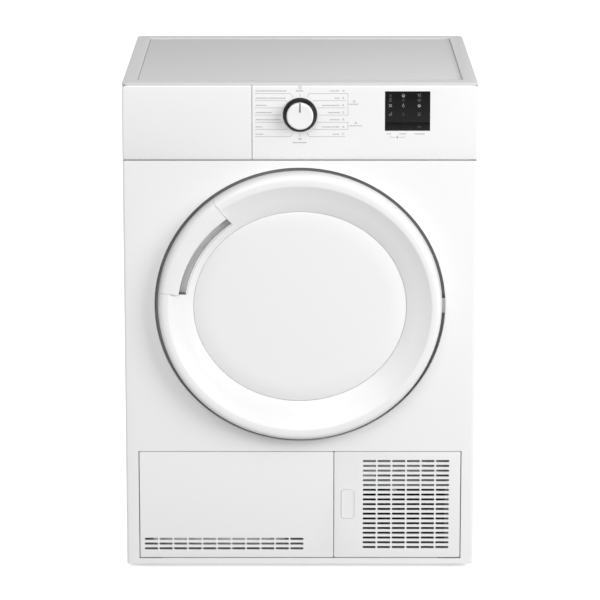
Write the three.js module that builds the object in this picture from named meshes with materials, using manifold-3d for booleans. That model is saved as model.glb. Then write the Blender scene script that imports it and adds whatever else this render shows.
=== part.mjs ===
// Condenser clothes dryer with a front door, a water tank drawer and a lower service door.
// Millimetres. +Z is up, +X is to the right of someone facing the machine, the front faces -Y.
// The origin is on the floor, in the middle of the overall width and depth.
import * as THREE from 'three';
import { mergeVertices } from 'three/addons/utils/BufferGeometryUtils.js';
import Module from 'manifold-3d';

const wasm = await Module();
wasm.setup();

// ---------------------------------------------------------------- driving dimensions

const WIDTH = 597; // cabinet, side to side
const HEIGHT = 846; // floor to the worktop's rim
const CABINET_DEPTH = 568; // front panel to the worktop's rear edge
const DOOR_STAND = 30; // the closed door, in front of the front panel
const SHEET = 1.2; // steel sheet
const WALL = 3; // moulded plastic wall
const GAP = 0.4; // between pieces that touch
const RUN = 0.5; // around what turns or slides
const SEAM = 1; // visible seam between outer panels

const FOOT_CLEARANCE = 10; // floor to the base tray
const PANEL_CLEARANCE = 8; // floor to the front panel
const FASCIA_HEIGHT = 126.5; // control fascia, bottom to top edge
const FASCIA_TOP_DROP = 3.5; // fascia's top edge below the worktop's rim
const FASCIA_DEPTH = 20; // fascia's returns and the front panel's returns
const FASCIA_CHAMFER = 19; // height of the slanted lower band
const FASCIA_CHAMFER_DEPTH = 4;
const TANK_FRONT_WIDTH = 217.5;

const WORKTOP_THICKNESS = 25.6;
const WORKTOP_SETBACK = 3; // worktop's front edge behind the fascia
const RIM_SIDE = 24; // raised rim around the worktop's board
const RIM_FRONT = 42;
const RIM_REAR = 26;
const BOARD_DROP = 3; // board's surface below the rim
const BOARD_THICKNESS = 13;
const REAR_SETBACK = 3; // rear panel in front of the worktop's rear edge

const KICK_LOW = 17.6; // service opening in the front panel
const KICK_HIGH = 209.1;
const KICK_HALF_WIDTH = 277;
const KICK_SPLIT = 58; // seam between the service door and the grille
const KICK_THICKNESS = 11.5;

const OPENING_A = 247.3; // oval door opening in the front panel, half width and half height
const OPENING_B = 237.8;
const OPENING_BELOW_FASCIA = 12.8;
const RECESS = 7; // depth of the dark groove around the door
const DOOR_GROOVE = 5.7; // door's edge inside the opening
const DOOR_WALL = 2.5;
const DOOR_TUCK = 2; // door's rear edge behind the front panel's face
const DOOR_TAPER = 3;
const RIM_INNER_A = 222.6; // where the flat rim turns into the cone
const RIM_INNER_B = 210.4;
const DISC_A = 180.6; // flat centre of the door
const DISC_B = 164.4;
const CONE_DEPTH = 19;
const HANDLE_FROM = 128.5; // degrees around the door, from +X towards +Z
const HANDLE_TO = 173.4;
const HANDLE_OVERHANG = 17;
const POCKET_DEPTH = 25; // finger pocket, below the rim's face

const MOUTH_R = 200; // loading mouth
const BULGE = 34; // inner door panel, behind the front panel's face
const BULGE_R = 188;

const DRUM_SIDE_ROOM = 13.3; // drum to side panel
const DRUM_FRONT = 64; // drum's front edge behind the front panel's face
const DRUM_LENGTH = 430;
const DRUM_SHEET = 1;
const DRUM_MOUTH_R = 232;
const LIFTER_HEIGHT = 55;
const BULKHEAD_REAR_ROOM = 11; // drum's rear wall to the rear bulkhead
const SHAFT_R = 12; // drum's rear shaft
const ROLLER_R = 30;
const ROLLER_AXLE_R = 5;
const ROLLER_ANGLE = 30; // degrees from the lowest point of the drum

const MOTOR_FROM_SIDE = 133.5; // motor's axis to the cabinet's right side
const MOTOR_Z = 100;
const MOTOR_R = 52;
const MOTOR_LENGTH = 140;
const ROTOR_R = 6;
const PULLEY_R = 11;
const BELT_WIDTH = 12;
const BELT_THICKNESS = 3;
const IDLER_R = 20;
const COOLING_FAN_R = 72;
const PROCESS_FAN_R = 74;

const CONDENSER_WIDTH = 210;
const CONDENSER_HEIGHT = 118;
const CONDENSER_LENGTH = 320;
const TRAY_WALL_HEIGHT = 140;

const TANK_HEIGHT = 47;
const TANK_LENGTH = 440;

const KNOB_R = 29; // black skirt of the programme knob
const KNOB_CAP_R = 22.3;
const KNOB_STAND = 21;
const DISPLAY_WIDTH = 76;
const DISPLAY_HEIGHT = 67;
const KEY_HEIGHT = 13.5;
const KEY_COUNT = 3;
const CARRIER = 2.4; // control board's carrier plate
const BUTTON_WIDTH = 22;
const BUTTON_HEIGHT = 51;

const OVAL_STEPS = 48;
const ROUND_STEPS = 40;
const SMALL_STEPS = 20;
const PIN_STEPS = 12;

// ---------------------------------------------------------------- places worked out from them

const HALF = WIDTH / 2;
const FRONT = -(CABINET_DEPTH + DOOR_STAND) / 2 + DOOR_STAND;
const REAR = (CABINET_DEPTH + DOOR_STAND) / 2;
const REAR_FACE = REAR - REAR_SETBACK;
const INSIDE = HALF - SHEET - GAP; // what reaches a side panel from inside
const WORKTOP_LOW = HEIGHT - WORKTOP_THICKNESS;
const FASCIA_TOP = HEIGHT - FASCIA_TOP_DROP;
const FASCIA_LOW = FASCIA_TOP - FASCIA_HEIGHT;
const DOOR_Z = FASCIA_LOW - OPENING_BELOW_FASCIA - OPENING_B;
const DRUM_R = HALF - SHEET - DRUM_SIDE_ROOM;
const TANK_FRONT_RIGHT = -HALF + TANK_FRONT_WIDTH;
const TRAY_FLOOR = FOOT_CLEARANCE + 4;
const TRAY_TOP = FOOT_CLEARANCE + TRAY_WALL_HEIGHT;
const TRAY_FRONT = FRONT + 27;
const BULKHEAD_LOW = TRAY_TOP + GAP;
const PLATE_FRONT = FRONT + DRUM_FRONT - 9; // front bulkhead's plate
const PLATE_REAR = PLATE_FRONT + 4;
const MOTOR_X = HALF - MOTOR_FROM_SIDE;

// ---------------------------------------------------------------- shaping helpers

// A closed three.js geometry as a solid, whichever way its faces point.
function solid(geometry) {
  const bare = geometry.clone();
  bare.deleteAttribute('normal');
  bare.deleteAttribute('uv');
  const merged = mergeVertices(bare, 1e-4);
  const at = merged.attributes.position;
  const corner = (i) => new THREE.Vector3().fromBufferAttribute(at, i);
  const faces = [];
  let volume = 0;
  for (let i = 0; i < merged.index.count; i += 3) {
    const [a, b, c] = [0, 1, 2].map((k) => merged.index.getX(i + k));
    if (a === b || b === c || c === a) continue;
    faces.push([a, b, c]);
    volume += corner(a).dot(corner(b).cross(corner(c)));
  }
  const turned = volume < 0 ? faces.map(([a, b, c]) => [a, c, b]) : faces;
  const mesh = new wasm.Mesh({
    numProp: 3,
    vertProperties: Float32Array.from(at.array),
    triVerts: Uint32Array.from(turned.flat()),
  });
  return new wasm.Manifold(mesh);
}

function geometryOf(piece) {
  const mesh = piece.getMesh();
  const geometry = new THREE.BufferGeometry();
  geometry.setAttribute('position', new THREE.BufferAttribute(Float32Array.from(mesh.vertProperties), 3));
  geometry.setIndex(new THREE.BufferAttribute(Uint32Array.from(mesh.triVerts), 1));
  geometry.computeVertexNormals();
  return geometry;
}

const joined = (pieces) => pieces.reduce((a, b) => a.add(b));
const less = (piece, cuts) => cuts.reduce((a, b) => a.subtract(b), piece);

// A box between two values on each axis.
function block([x0, x1], [y0, y1], [z0, z1]) {
  const geometry = new THREE.BoxGeometry(x1 - x0, y1 - y0, z1 - z0);
  return solid(geometry.translate((x0 + x1) / 2, (y0 + y1) / 2, (z0 + z1) / 2));
}

// A round bar along Y. A bore of the same radius clears the bar's corners as it turns.
function barY(radius, y0, y1, [x, z] = [0, 0], steps = SMALL_STEPS) {
  const geometry = new THREE.CylinderGeometry(radius, radius, y1 - y0, steps);
  return solid(geometry.translate(x, (y0 + y1) / 2, z));
}
const boreY = (radius, y0, y1, at, steps = SMALL_STEPS) =>
  barY(radius / Math.cos(Math.PI / steps), y0, y1, at, steps);

function barZ(radius, z0, z1, [x, y] = [0, 0], steps = SMALL_STEPS) {
  const geometry = new THREE.CylinderGeometry(radius, radius, z1 - z0, steps);
  return solid(geometry.rotateX(Math.PI / 2).translate(x, y, (z0 + z1) / 2));
}
const boreZ = (radius, z0, z1, at, steps = SMALL_STEPS) =>
  barZ(radius / Math.cos(Math.PI / steps), z0, z1, at, steps);

// A profile of [radius, y] turned about the Y axis.
function turned(profile, steps = ROUND_STEPS) {
  const points = [...profile, profile[0]].map(([r, y]) => new THREE.Vector2(r, y));
  return solid(new THREE.LatheGeometry(points, steps));
}

// A profile of [half width, half height, y] swept round an oval about the Y axis.
function oval(profile, steps = OVAL_STEPS) {
  const closed = [...profile, profile[0]];
  const geometry = new THREE.LatheGeometry(closed.map(([a, , y]) => new THREE.Vector2(a, y)), steps);
  const at = geometry.attributes.position;
  for (let i = 0; i < at.count; i += 1) {
    const [a, b] = closed[i % closed.length];
    if (a > 0) at.setZ(i, (at.getZ(i) * b) / a);
  }
  return solid(geometry);
}

const extrusion = (shape, depth, steps = 6) =>
  new THREE.ExtrudeGeometry(shape, { depth, bevelEnabled: false, curveSegments: steps });

// An outline in X and Y, raised from z0 to z1.
const raised = (shape, z0, z1, steps) => solid(extrusion(shape, z1 - z0, steps).translate(0, 0, z0));

// An outline in X and Z, deepened from y0 to y1.
const deepened = (shape, y0, y1, steps) =>
  solid(extrusion(shape, y1 - y0, steps).rotateX(Math.PI / 2).translate(0, y1, 0));

// An outline in Y and Z, drawn out from x0 to x1.
function drawn(shape, x0, x1, steps) {
  const turn = new THREE.Matrix4().makeBasis(
    new THREE.Vector3(0, 1, 0),
    new THREE.Vector3(0, 0, 1),
    new THREE.Vector3(1, 0, 0),
  );
  return solid(extrusion(shape, x1 - x0, steps).applyMatrix4(turn).translate(x0, 0, 0));
}

function polygon(points) {
  return new THREE.Shape(points.map(([u, v]) => new THREE.Vector2(u, v)));
}

// The outline of a rectangle, with its own corner radius at the low and the high end of the second axis.
function roundedPoints(u0, u1, v0, v1, low, high = low) {
  const corners = [
    [u0 + low, v0 + low, low, 180],
    [u1 - low, v0 + low, low, 270],
    [u1 - high, v1 - high, high, 0],
    [u0 + high, v1 - high, high, 90],
  ];
  const steps = 5;
  return corners.flatMap(([u, v, radius, from]) => {
    if (radius === 0) return [new THREE.Vector2(u, v)];
    return Array.from({ length: steps + 1 }, (_, i) => {
      const turn = THREE.MathUtils.degToRad(from + (90 * i) / steps);
      return new THREE.Vector2(u + radius * Math.cos(turn), v + radius * Math.sin(turn));
    });
  });
}
const rounded = (...sizes) => new THREE.Shape(roundedPoints(...sizes));
const roundedHole = (...sizes) => new THREE.Path(roundedPoints(...sizes));

// Slots in rows and columns, as one cutter. The first slot's upper left corner is given.
function slotCutter(first, columns, rows, pitchX, pitchZ, width, height, depth) {
  const slots = [];
  for (let row = 0; row < rows; row += 1) {
    for (let column = 0; column < columns; column += 1) {
      const x = first[0] + column * pitchX;
      const z = first[1] - row * pitchZ;
      slots.push(block([x, x + width], depth, [z - height, z]));
    }
  }
  return joined(slots);
}

// A wedge about the Y axis between two angles in degrees, from +X towards +Z.
function wedge(from, to, reach, y0, y1) {
  const points = [[0, 0]];
  const steps = 6;
  for (let i = 0; i <= steps; i += 1) {
    const turn = THREE.MathUtils.degToRad(from + ((to - from) * i) / steps);
    points.push([reach * Math.cos(turn), reach * Math.sin(turn)]);
  }
  return deepened(polygon(points), y0, y1);
}

// ---------------------------------------------------------------- finishes

const finish = (colour, roughness, metalness = 0) => ({ colour, roughness, metalness });
const FINISHES = {
  whitePaint: finish(0xf2f2f2, 0.4),
  whitePlastic: finish(0xf4f4f4, 0.45),
  greyTop: finish(0xc9cacb, 0.5),
  grooveGrey: finish(0x6f7173, 0.55),
  greyPlastic: finish(0x9a9c9e, 0.6),
  darkPlastic: finish(0x2b2c2e, 0.5),
  blackGloss: finish(0x101112, 0.15),
  zincSteel: finish(0xa9adb0, 0.35, 0.9),
  stainless: finish(0xc4c7c9, 0.3, 1),
  aluminium: finish(0xb9bcbe, 0.4, 1),
  rubber: finish(0x1c1c1d, 0.85),
  felt: finish(0x6b6459, 0.95),
  clearCover: finish(0xdfe6ea, 0.15),
};

const dryer = new THREE.Group();

// Adds one named piece to a group, in that group's own place.
function add(group, name, piece, look) {
  const { colour, roughness, metalness } = FINISHES[look];
  const material = new THREE.MeshStandardMaterial({ color: colour, roughness, metalness, flatShading: true });
  const mesh = new THREE.Mesh(geometryOf(piece), material);
  mesh.name = name;
  group.add(mesh);
}

function groupAt(x, y, z) {
  const group = new THREE.Group();
  group.position.set(x, y, z);
  dryer.add(group);
  return group;
}

// ---------------------------------------------------------------- cabinet

const cabinet = groupAt(0, 0, 0);

const doorHole = (grow, y0, y1) =>
  oval([
    [0, 0, y0],
    [OPENING_A + grow, OPENING_B + grow, y0],
    [OPENING_A + grow, OPENING_B + grow, y1],
    [0, 0, y1],
  ]).translate(0, FRONT, DOOR_Z);

const KICK_PIN = { x: -KICK_HALF_WIDTH + 5, y: FRONT + 6, r: 2.5 };

// One bent sheet: the front wall with its two side returns, and small hinge ledges for the service door.
function frontPanel() {
  const radius = 4;
  const back = FRONT + FASCIA_DEPTH;
  const plan = new THREE.Shape();
  plan.moveTo(-HALF, back);
  plan.absarc(-HALF + radius, FRONT + radius, radius, Math.PI, Math.PI * 1.5);
  plan.absarc(HALF - radius, FRONT + radius, radius, -Math.PI / 2, 0);
  plan.lineTo(HALF, back);
  plan.lineTo(HALF - SHEET, back);
  plan.absarc(HALF - radius, FRONT + radius, radius - SHEET, 0, -Math.PI / 2, true);
  plan.absarc(-HALF + radius, FRONT + radius, radius - SHEET, -Math.PI / 2, -Math.PI, true);
  plan.lineTo(-HALF + SHEET, back);
  const sheet = raised(plan, PANEL_CLEARANCE, FASCIA_LOW - SEAM);
  const outline = deepened(
    rounded(-HALF, HALF, PANEL_CLEARANCE, FASCIA_LOW, 9, 0), FRONT - 1, back + 1,
  );
  const service = block([-KICK_HALF_WIDTH, KICK_HALF_WIDTH], [FRONT - 1, FRONT + 3], [KICK_LOW, KICK_HIGH]);
  const ledge = (z) => block([KICK_PIN.x - 6, KICK_PIN.x + 8], [FRONT + 0.2, FRONT + 13], [z, z + SHEET]);
  const panel = less(sheet.intersect(outline), [doorHole(0, -2, 4), service]);
  const pinHole = boreZ(KICK_PIN.r + RUN, 0, KICK_HIGH + 9, [KICK_PIN.x, KICK_PIN.y]);
  return joined([panel, ledge(KICK_HIGH - 0.2), ledge(KICK_LOW - SHEET + 0.2)]).subtract(pinHole);
}

// A side sheet with a folded flange at the front, the rear and the top.
function sidePanel(side) {
  const flange = 14;
  const front = FRONT + FASCIA_DEPTH + GAP;
  const rear = REAR_FACE - SHEET - GAP;
  const low = FOOT_CLEARANCE + 1;
  const high = WORKTOP_LOW - GAP;
  const across = (depth) => [HALF - depth, HALF];
  const panel = joined([
    block(across(SHEET), [front, rear], [low, high]),
    block(across(flange), [rear - SHEET, rear], [low, high]),
    block(across(flange), [front, rear], [high - SHEET, high]),
  ]);
  return side > 0 ? panel : panel.mirror([1, 0, 0]);
}

const INLET = { x: HALF - 70, z: TRAY_TOP + 20, width: 34, height: 26 };

function rearPanel() {
  const sheet = rounded(-HALF + 1, HALF - 1, FOOT_CLEARANCE + 2, WORKTOP_LOW - GAP, 0);
  const through = [REAR_FACE - SHEET - 1, REAR_FACE + 1];
  const vents = slotCutter([-150, 160], 3, 6, 70, 14, 55, 6, through);
  const hole = block([INLET.x, INLET.x + INLET.width], through, [INLET.z, INLET.z + INLET.height]);
  return less(deepened(sheet, REAR_FACE - SHEET, REAR_FACE), [vents, hole]);
}

function mainsInlet() {
  const { x, z, width, height } = INLET;
  const body = block([x + GAP, x + width - GAP], [REAR_FACE - 18, REAR_FACE], [z + GAP, z + height - GAP]);
  const flange = block([x - 5, x + width + 5], [REAR_FACE + GAP, REAR_FACE + 2.6], [z - 5, z + height + 5]);
  const neck = block([x + GAP, x + width - GAP], [REAR_FACE - 1, REAR_FACE + 1], [z + GAP, z + height - GAP]);
  const centre = [x + width / 2, z + height / 2];
  return joined([body, flange, neck]).subtract(barY(5, REAR_FACE - 10, REAR + 2, centre));
}

// The raised rim of the worktop, an L in section, with the board let into it.
const BOARD_X = HALF - RIM_SIDE;
const BOARD_Y = [FRONT + RIM_FRONT, REAR - RIM_REAR];
const BOARD_Z = HEIGHT - BOARD_DROP - BOARD_THICKNESS;

function worktopFrame() {
  const ledge = 12;
  const outline = rounded(-HALF, HALF, FRONT + WORKTOP_SETBACK, REAR, 9);
  const slab = raised(outline, WORKTOP_LOW, HEIGHT);
  const pocket = block([-BOARD_X, BOARD_X], BOARD_Y, [BOARD_Z - GAP, HEIGHT + 1]);
  const hollow = block(
    [-BOARD_X + ledge, BOARD_X - ledge], [BOARD_Y[0] + ledge, BOARD_Y[1] - ledge], [WORKTOP_LOW - 1, HEIGHT],
  );
  const boardBack = FRONT + FASCIA_DEPTH + 2 * GAP + CARRIER;
  const lipRoom = block([-HALF - 1, HALF + 1], [FRONT, boardBack], [WORKTOP_LOW - 1, FASCIA_TOP + GAP]);
  return less(slab, [pocket, hollow, lipRoom]);
}

const worktopBoard = () =>
  block([-BOARD_X + GAP, BOARD_X - GAP], [BOARD_Y[0] + GAP, BOARD_Y[1] - GAP], [BOARD_Z, HEIGHT - BOARD_DROP]);

// The top front member joins both sides and carries the worktop's front edge.
const RAIL_LOW = WORKTOP_LOW - GAP - 2;
function frontCrossrail() {
  const y0 = FRONT + FASCIA_DEPTH + 6;
  const top = block([-HALF + 15, HALF - 15], [y0, y0 + 24], [RAIL_LOW, RAIL_LOW + 2]);
  const lip = block([TANK_FRONT_RIGHT + 5, HALF - 15], [y0 + 22, y0 + 24], [RAIL_LOW - 16, RAIL_LOW]);
  return top.add(lip);
}

// ---------------------------------------------------------------- fascia, tank drawer and controls

function fasciaSection() {
  return polygon([
    [FRONT, FASCIA_LOW + FASCIA_CHAMFER],
    [FRONT + FASCIA_CHAMFER_DEPTH, FASCIA_LOW],
    [FRONT + FASCIA_DEPTH, FASCIA_LOW],
    [FRONT + FASCIA_DEPTH, FASCIA_TOP],
    [FRONT + 2, FASCIA_TOP],
    [FRONT, FASCIA_TOP - 2],
  ]);
}
const fasciaOutline = () =>
  deepened(rounded(-HALF, HALF, FASCIA_LOW, FASCIA_TOP, 0, 6), FRONT - 1, FRONT + FASCIA_DEPTH + 1);

const KNOB_Z = FASCIA_LOW + 77;
const DISPLAY = {
  x: 142.2,
  low: FASCIA_LOW + 49.7,
  get high() {
    return this.low + DISPLAY_HEIGHT;
  },
};
const DISPLAY_RIGHT = DISPLAY.x + DISPLAY_WIDTH;
const fasciaLeft = TANK_FRONT_RIGHT + SEAM;

function controlFascia() {
  const shell = drawn(fasciaSection(), fasciaLeft, HALF).intersect(fasciaOutline());
  const hollow = block(
    [fasciaLeft + WALL, HALF - WALL],
    [FRONT + FASCIA_CHAMFER_DEPTH + WALL, FRONT + FASCIA_DEPTH + 1],
    [FASCIA_LOW + WALL, FASCIA_TOP - WALL],
  );
  const panelHole = block([DISPLAY.x, DISPLAY_RIGHT], [FRONT - 1, FRONT + 9], [DISPLAY.low, DISPLAY.high]);
  const stemHole = boreY(6 + RUN, FRONT - 1, FRONT + 9, [0, KNOB_Z]);
  const bezelY = FRONT + 15;
  const bezel = block([-INSIDE, fasciaLeft + 1], [bezelY, bezelY + 3], [FASCIA_LOW + 1, FASCIA_TOP - 1]);
  const passage = block(
    [TANK.x0 - 1.5, TANK.x1 + 1.5], [bezelY - 1, bezelY + 4], [TANK.z0 - 1.5, TANK.z0 + TANK_HEIGHT + 1.5],
  );
  return joined([less(shell, [hollow, panelHole, stemHole]), bezel.subtract(passage)]);
}

const TANK = {
  x0: -HALF + 9,
  x1: TANK_FRONT_RIGHT - 9,
  y0: FRONT + 13,
  z0: FASCIA_LOW + 44,
};

// A bottle with a filling hole at its rear end, clipped behind the drawer's front.
function waterTank() {
  const { x0, x1, y0, z0 } = TANK;
  const t = 2.5;
  const outer = block([x0, x1], [y0, y0 + TANK_LENGTH], [z0, z0 + TANK_HEIGHT]);
  const inner = block([x0 + t, x1 - t], [y0 + t, y0 + TANK_LENGTH - t], [z0 + t, z0 + TANK_HEIGHT - t]);
  const port = barZ(13, z0 + TANK_HEIGHT - 2 * t, z0 + TANK_HEIGHT + 1, [(x0 + x1) / 2, y0 + TANK_LENGTH - 40]);
  return less(outer, [inner, port]);
}

function tankDrawerFront() {
  const shell = drawn(fasciaSection(), -HALF, TANK_FRONT_RIGHT).intersect(fasciaOutline());
  const rear = FRONT + 12.6;
  const cut = block([-HALF - 1, TANK_FRONT_RIGHT + 1], [rear, FRONT + FASCIA_DEPTH + 1], [FASCIA_LOW - 1, FASCIA_TOP + 1]);
  const hollow = block(
    [-HALF + WALL, TANK_FRONT_RIGHT - WALL],
    [FRONT + FASCIA_CHAMFER_DEPTH + WALL, rear + 1],
    [FASCIA_LOW + WALL, FASCIA_TOP - WALL],
  );
  const rib = block(
    [TANK.x0 + 10, TANK.x1 - 10], [FRONT + WALL, rear], [TANK.z0 + 5, TANK.z0 + 8],
  );
  return less(shell, [cut, hollow]).add(rib);
}

// An open channel under the tank, carried by the left side panel and the front bulkhead.
function tankTray() {
  const y0 = FRONT + FASCIA_DEPTH;
  const [x0, x1] = [-INSIDE, TANK.x1 + 4];
  const floor = TANK.z0 - GAP;
  const outer = block([x0, x1], [y0, TANK.y0 + TANK_LENGTH + 6], [floor - WALL, floor + 30]);
  const inner = block(
    [TANK.x0 - RUN, TANK.x1 + RUN], [y0 - 1, TANK.y0 + TANK_LENGTH + 3], [floor, floor + 40],
  );
  return outer.subtract(inner);
}

const windowLow = DISPLAY.low + KEY_HEIGHT + GAP;
const displayWindow = () =>
  block([DISPLAY.x + GAP, DISPLAY_RIGHT - GAP], [FRONT - 0.3, FRONT + 5], [windowLow, DISPLAY.high - GAP]);

function key(number) {
  const pitch = (DISPLAY_WIDTH - GAP) / KEY_COUNT;
  const x0 = DISPLAY.x + GAP + number * pitch;
  return block([x0, x0 + pitch - GAP], [FRONT - 0.3, FRONT + 5], [DISPLAY.low + GAP, windowLow - GAP]);
}

const STEM_R = 4;
const ENCODER_FRONT = FRONT + 8.5;

// The board in its carrier closes the fascia's back, with the knob's encoder and the display on it.
function controlBoard() {
  const y0 = FRONT + FASCIA_DEPTH + GAP;
  const carrier = block([fasciaLeft + 4, HALF - 16], [y0, y0 + CARRIER], [FASCIA_LOW + 1, FASCIA_TOP - 1]);
  const encoder = block([-12, 12], [ENCODER_FRONT, y0 + 1], [KNOB_Z - 12, KNOB_Z + 12]);
  const display = block([DISPLAY.x - 4, DISPLAY_RIGHT + 4], [FRONT + 9, y0 + 1], [DISPLAY.low - 4, DISPLAY.high + 4]);
  const bore = boreY(STEM_R + RUN, ENCODER_FRONT - 1, FRONT + 19, [0, KNOB_Z]);
  return joined([carrier, encoder, display]).subtract(bore);
}

const knob = groupAt(0, FRONT, KNOB_Z);

function knobSkirt() {
  const skirt = turned([
    [0, -0.4],
    [0, -9],
    [KNOB_CAP_R + 1.5, -9],
    [KNOB_R - 1, -3],
    [KNOB_R, -1.2],
    [KNOB_R, -0.4],
  ]);
  return skirt.add(barY(STEM_R, -1, FASCIA_DEPTH - 5));
}

function knobCap() {
  return turned([
    [0, -9 - GAP],
    [0, -KNOB_STAND],
    [KNOB_CAP_R - 2.2, -KNOB_STAND],
    [KNOB_CAP_R - 0.6, -KNOB_STAND + 0.7],
    [KNOB_CAP_R, -KNOB_STAND + 2.4],
    [KNOB_CAP_R, -9 - GAP],
  ]);
}

// ---------------------------------------------------------------- door

const door = groupAt(0, FRONT, DOOR_Z);
const DOOR_A = OPENING_A - DOOR_GROOVE;
const DOOR_B = OPENING_B - DOOR_GROOVE;
const FACE = -DOOR_STAND;
const DISC_Y = FACE + CONE_DEPTH;

// From the rear edge over the rounded front edge to the flat rim: [inset from the edge, y].
const DOOR_EDGE = [
  [0, DOOR_TUCK],
  [DOOR_TAPER, FACE + 8],
  [DOOR_TAPER + 0.9, FACE + 4.4],
  [DOOR_TAPER + 3.2, FACE + 1.6],
  [DOOR_TAPER + 7, FACE + 0.3],
  [DOOR_TAPER + 9.5, FACE],
];
const edgeAt = (inset, y) => [DOOR_A - inset, DOOR_B - inset, y];

function rimSolid() {
  const outside = DOOR_EDGE.map(([inset, y]) => edgeAt(inset, y));
  const inside = [
    edgeAt(DOOR_TAPER + 9.5, FACE + DOOR_WALL),
    edgeAt(DOOR_TAPER + DOOR_WALL + 2, FACE + 4.4),
    edgeAt(DOOR_TAPER + DOOR_WALL, FACE + 8),
    edgeAt(DOOR_WALL, DOOR_TUCK),
  ];
  return oval([
    ...outside,
    [RIM_INNER_A, RIM_INNER_B, FACE],
    [DISC_A, DISC_B, DISC_Y],
    [DISC_A, DISC_B, DISC_Y + DOOR_WALL],
    [RIM_INNER_A, RIM_INNER_B, FACE + DOOR_WALL],
    ...inside,
  ]);
}

// A ring between two ovals given by their half widths at the height of the cone's own ovals.
const coneShare = (a) => (RIM_INNER_A - a) / (RIM_INNER_A - DISC_A);
const coneB = (a) => RIM_INNER_B + (DISC_B - RIM_INNER_B) * coneShare(a);
const coneY = (a) => FACE + CONE_DEPTH * coneShare(a);
const POCKET_A = RIM_INNER_A - 30; // inner edge of the handle's cup
const GRIP_A = RIM_INNER_A - HANDLE_OVERHANG;

function doorRim() {
  const seat = oval([
    [POCKET_A - GAP, coneB(POCKET_A) - GAP, FACE - 5],
    [DOOR_A + 5, DOOR_B + 5, FACE - 5],
    [DOOR_A + 5, DOOR_B + 5, 10],
    [POCKET_A - GAP, coneB(POCKET_A) - GAP, 10],
  ]);
  const sector = wedge(HANDLE_FROM, HANDLE_TO, DOOR_A * 1.4, FACE - 6, 11);
  return rimSolid().subtract(seat.intersect(sector));
}

// The handle is one moulding: a grip that overhangs the cone, and the cup for the fingers behind it.
function doorHandle() {
  const floor = FACE + POCKET_DEPTH;
  const lip = 4.5;
  const back = RIM_INNER_A - 2;
  const grip = [GRIP_A, coneB(GRIP_A) + 1];
  const outside = DOOR_EDGE.map(([inset, y]) => edgeAt(inset, y));
  const moulding = oval([
    ...outside,
    [...grip, FACE],
    [...grip, FACE + lip],
    [back, coneB(back), FACE + lip],
    [back, coneB(back), floor],
    [POCKET_A + 2, coneB(POCKET_A + 2), floor],
    [POCKET_A + 2, coneB(POCKET_A + 2), coneY(POCKET_A + 2)],
    [POCKET_A, coneB(POCKET_A), coneY(POCKET_A)],
    [POCKET_A, coneB(POCKET_A), floor + 2],
    [back + 2, coneB(back) + 2, floor + 2],
    [back + 2, coneB(back) + 2, FACE + lip],
    edgeAt(DOOR_TAPER + DOOR_WALL + 3, FACE + lip),
    edgeAt(DOOR_TAPER + DOOR_WALL, FACE + 8),
    edgeAt(DOOR_WALL, DOOR_TUCK),
  ]);
  const sector = wedge(HANDLE_FROM + 0.15, HANDLE_TO - 0.15, DOOR_A * 1.4, FACE - 6, 11);
  return moulding.intersect(sector);
}

function doorDisc() {
  return oval([
    [0, 0, DISC_Y],
    [DISC_A - GAP, DISC_B - GAP, DISC_Y],
    [DISC_A - GAP, DISC_B - GAP, DISC_Y + DOOR_WALL + GAP],
    [DISC_A + 5, DISC_B + 5, DISC_Y + DOOR_WALL + GAP],
    [DISC_A + 5, DISC_B + 5, DISC_Y + DOOR_WALL + 2],
    [0, 0, DISC_Y + DOOR_WALL + 2],
  ]);
}

const INNER_FRONT = DOOR_TUCK - 2.6; // the inner panel's flange lies inside the rim's rear edge

function doorInnerPanel() {
  const edge = [DOOR_A - DOOR_WALL - GAP, DOOR_B - DOOR_WALL - GAP];
  return oval([
    [...edge, INNER_FRONT],
    [...edge, DOOR_TUCK],
    [BULGE_R + 4, BULGE_R + 4, DOOR_TUCK],
    [BULGE_R, BULGE_R, BULGE - 5],
    [BULGE_R - 6, BULGE_R - 6, BULGE],
    [0, 0, BULGE],
    [0, 0, BULGE - DOOR_WALL],
    [BULGE_R - 8, BULGE_R - 8, BULGE - DOOR_WALL],
    [BULGE_R - DOOR_WALL, BULGE_R - DOOR_WALL, BULGE - 7],
    [BULGE_R + 1.4, BULGE_R + 1.4, INNER_FRONT],
  ]);
}

// The swan-neck hinge: its pin is behind the front panel, outside the door's edge, and the neck
// reaches round the edge of the opening.
const HINGE = { x: OPENING_A + 16.7, y: 9, pin: 2.5, barrel: 5.5, neck: 26, thick: 6, half: 13 };

function doorHinge() {
  const { x, y, pin, barrel, neck, thick, half } = HINGE;
  const turn = (degrees) => THREE.MathUtils.degToRad(degrees);
  const [from, to] = [70, 180];
  const band = new THREE.Shape();
  band.absarc(0, 0, neck + thick / 2, turn(from), turn(to));
  band.absarc(0, 0, neck - thick / 2, turn(to), turn(from), true);
  const leg = block([0, neck + 1], [-thick / 2, thick / 2], [-half, half]).rotate([0, 0, from]);
  const hub = barZ(barrel, -half, half);
  const shank = block([-neck - thick / 2, -neck + thick / 2], [DOOR_TUCK + GAP - y, 1], [-half, half]);
  const plate = block([-neck - 30, -neck + thick / 2], [DOOR_TUCK + GAP - y, DOOR_TUCK + GAP - y + 3], [-half, half]);
  const whole = joined([raised(band, -half, half, 10), leg, hub, shank, plate]);
  return whole.subtract(boreZ(pin + RUN, -half - 1, half + 1)).translate(x, y, 0);
}

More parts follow.
